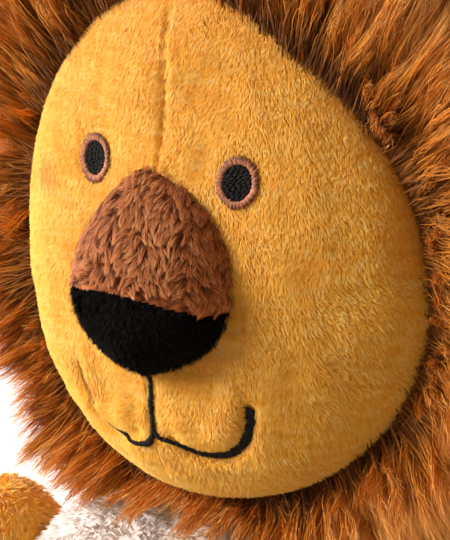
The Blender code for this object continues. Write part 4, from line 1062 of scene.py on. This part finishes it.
def make_crown():
    rows = back_ring(*polar_grid(40, 160, 0.004, 0.998))
    mesh = sheet_mesh("head_back_skin", rows, flip=True)
    mesh = part_of(mesh, above_neck(rows.reshape(-1, 3)))
    # The back of the head and the core that swells off it wear the cloth painted dark as the shade under the
    # crown's locks.
    piece(
        "head_back_skin", mesh, mane_shade_cloth, "head", "mane_pile", "head_back_cover", "head_stuffing", fill=0.8
    )

    points, _, _ = arrays(mesh)
    covered = np.clip((points[:, 1] + 4) / 16, 0, 1) * np.clip((points[:, 2] - TORSO_TOP) / 20, 0, 1)
    swell = crown_thickness(points) * (0.62 + 0.1 * drift(points, 24, 401)) * covered
    core = moved(mesh.copy(), lambda p, n: n * swell[:, None])
    piece("mane_crown_core", core, mane_shade_cloth, "head", "mane_pile")

    place, normal = scatter(core, 0.12, 402, lambda p: p[:, 1] > -3)
    aside = place - HEAD
    aside[:, 1] = 0
    front = np.clip((16 - place[:, 1:2]) / 14, 0, 1)
    way = np.array((0.0, 0.25, -1.0)) * (1 - 0.75 * front) + (0.9 + 0.6 * front) * unit(aside)
    way = along_skin(way - 0.9 * REARWARD * front, normal)
    rng = np.random.default_rng(403)
    long = crown_thickness(place) * rng.uniform(0.85, 1.1, len(place))
    tip = place + normal * (long * 0.42)[:, None] + way * (long * 0.8)[:, None]
    tip += rng.normal(size=tip.shape) * 1.5 + 2.0 * drifts(tip, 25, 403)
    tip[:, 2] = np.maximum(tip[:, 2], TORSO_TOP - 10)
    heights = shoulder_heights()
    for number, chosen in enumerate(np.array_split(np.argsort(place[:, 0]), 3)):
        name = f"mane_crown_pile_{number}"
        start, stand = place[chosen] - normal[chosen] * 2.0, normal[chosen]
        mesh = clumps(name, start, tip[chosen], stand * 3.5, stand, 18, 404 + number, 0.42, rest=heights)
        piece(name, mesh, mane_fibre, "head", "mane_pile", *(("mane_crown",) if number == 0 else ()))


def above_neck(points):
    """Points of the head that are clear of the torso's neck."""
    wide = np.hypot(points[:, 0], points[:, 1] / 0.86)
    return (points[:, 2] > TORSO_TOP + 1.0) | (wide > 30.0)


# Body and limbs


def combed(*way):
    """The same nap everywhere."""
    return lambda place: np.tile(np.array(way, dtype=float), (len(place), 1))


down = combed(0, -0.1, -1)
upwards = combed(0, 0.1, 1)


def make_body():
    nodes = ["body_cover", "belly_panel", "body_stuffing", "pellet_pouch", "base_panel"]

    def seams(points, normals):
        side = near(points[:, 1] - BELLY_SEAM, 3.0) * (points[:, 2] > 3)
        spine = near(points[:, 0], 2.6) * (points[:, 1] > 0) * (points[:, 2] > 3)
        soft = 0.9 * drift(points, 40, 501)
        calm = np.clip(points[:, 2] / 10, 0, 1) * np.clip((TORSO_TOP - 4 - points[:, 2]) / 12, 0, 1)
        return normals * ((soft - 1.5 * side - 1.1 * spine - 0.9) * calm)[:, None]

    mesh = moved(soft_copy(nodes, 2.6), seams)
    points, _, _ = arrays(mesh)
    back = part_of(mesh, points[:, 1] > BELLY_SEAM - 2.5)
    front = part_of(mesh, points[:, 1] < BELLY_SEAM + 2.0)
    hidden = "body_stuffing", "pellet_pouch", "base_panel"
    piece("body_skin", back, gold_cloth, "torso", "golden_plush", "body_cover", *hidden, fill=0.8)
    piece("belly_skin", front, cream_cloth, "torso", "pale_plush", "belly_panel", fill=0.8)
    behind = lambda p: (p[:, 2] > 2.0) & (p[:, 1] > BELLY_SEAM - 0.3)
    before = lambda p: (p[:, 2] > 2.0) & (p[:, 1] < BELLY_SEAM + 0.3)
    grow("body_pile", back, GOLDEN, "torso", 1.5, 2.3, 0.6, down, 50, 510, behind, mottle=0.15)
    grow("belly_pile", front, PALE, "torso", 1.8, 2.3, 0.55, down, 50, 511, before, mottle=0.15)


def make_limbs():
    for number, (word, side) in enumerate(SIDES):
        nodes = [f"arm_cover_{word}", f"arm_stuffing_{word}"]
        mesh = moved(soft_copy(nodes, 2.0), lambda p, n: n * (0.5 * drift(p, 22, 601 + number) - 0.5)[:, None])
        plush(
            f"arm_skin_{word}", f"arm_pile_{word}", mesh, GOLDEN, f"arm_{word}", nodes, 0.8,
            3.4, 2.1, 0.42, down, 50, 610 + number, off_seat("arm", side), mottle=0.15,
        )
        nodes = [f"leg_cover_{word}", f"leg_stuffing_{word}"]
        mesh = moved(
            soft_copy(nodes, 2.4),
            lambda p, n: n * ((0.6 * drift(p, 28, 621 + number) - 0.5) * np.clip(p[:, 2] / 6, 0, 1))[:, None],
        )
        plush(
            f"leg_skin_{word}", f"leg_pile_{word}", mesh, GOLDEN, f"leg_{word}", nodes, 0.8,
            2.2, 2.2, 0.5, combed(0, -1, -0.35), 50, 630 + number, off_seat("leg", side), mottle=0.15,
        )
        nodes = [f"foot_sole_{word}"]
        plush(
            f"sole_{word}", f"sole_pile_{word}", soft_copy(nodes, 0.9, 3), PALE, f"leg_{word}", nodes, 0.8,
            3.0, 1.5, 0.34, down, 45, 640 + number, lambda p: p[:, 1] < -163.5,
        )


def off_seat(kind, side):
    """Pile only where the limb is clear of the torso and the floor."""
    if kind == "arm":
        lean = math.radians(12)
        out, reach = np.array((side * math.cos(lean), 0.0, math.sin(lean))), ARM_SEAT
    else:
        turn, drop = math.radians(40), math.radians(15)
        level = math.cos(drop)
        out = np.array((side * math.cos(turn) * level, -math.sin(turn) * level, -math.sin(drop)))
        reach = LEG_SEAT
    return lambda p: (p @ out > reach + 1.6) & (p[:, 2] > 2.0)


def make_ears():
    for number, (word, _) in enumerate(SIDES):
        nodes = [f"ear_{word}"]
        plush(
            f"ear_skin_{word}", f"ear_pile_{word}", soft_copy(nodes, 1.3, 4), GOLDEN, "head", nodes, 0.6,
            2.6, 2.4, 0.4, upwards, 55, 701 + number,
        )
        nodes = [f"ear_lining_{word}"]
        plush(
            f"ear_lining_skin_{word}", f"ear_lining_pile_{word}", soft_copy(nodes, 0.9, 3), PALE, "head", nodes,
            0.6, 3.0, 2.0, 0.34, upwards, 50, 711 + number,
        )


def make_tail():
    nodes = ["tail_cover", "tail_stuffing"]
    plush(
        "tail_skin", "tail_pile", soft_copy(nodes, 1.6), GOLDEN, "tail", nodes, 0.8,
        2.2, 2.4, 0.42, combed(1, 0.3, 0), 55, 801, lambda p: p[:, 2] > 1.5,
    )
    low, high = (np.array(corner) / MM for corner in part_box("tail_tuft"))
    middle = (low + high) / 2
    core = moved(soft_copy(["tail_tuft"], 1.6), lambda p, n: (middle - p) * np.array((0.1, 0.25, 0.25)))
    # The tuft's core wears the cloth painted dark as the shade between its locks.
    piece("tail_tuft_core", core, mane_shade_cloth, "tail", "brown_plush", "tail_tuft")
    place, normal = scatter(core, 0.16, 802)
    rng = np.random.default_rng(803)
    way = np.array((1.0, 0.02, 0.0))
    room = np.clip((high[0] - place[:, 0]) / 22, 0.15, 1)
    tip = place + (way * 17 + normal * 5.0) * room[:, None] * rng.uniform(0.8, 1.1, (len(place), 1))
    tip[:, 2] = np.maximum(tip[:, 2], 1.0)
    mesh = clumps(
        "tail_tuft_pile", place, tip, normal * 2.5, normal, 14, 804, 0.42, steps=6, spread=1.8, close=0.7
    )
    piece("tail_tuft_pile", mesh, mane_fibre, "tail", "brown_plush")


set_view()
set_light()
make_floor()
make_face()
make_nose()
make_embroidery()
make_mane_core()
make_fringe()
make_crown()
make_ears()
make_body()
make_limbs()
make_tail()
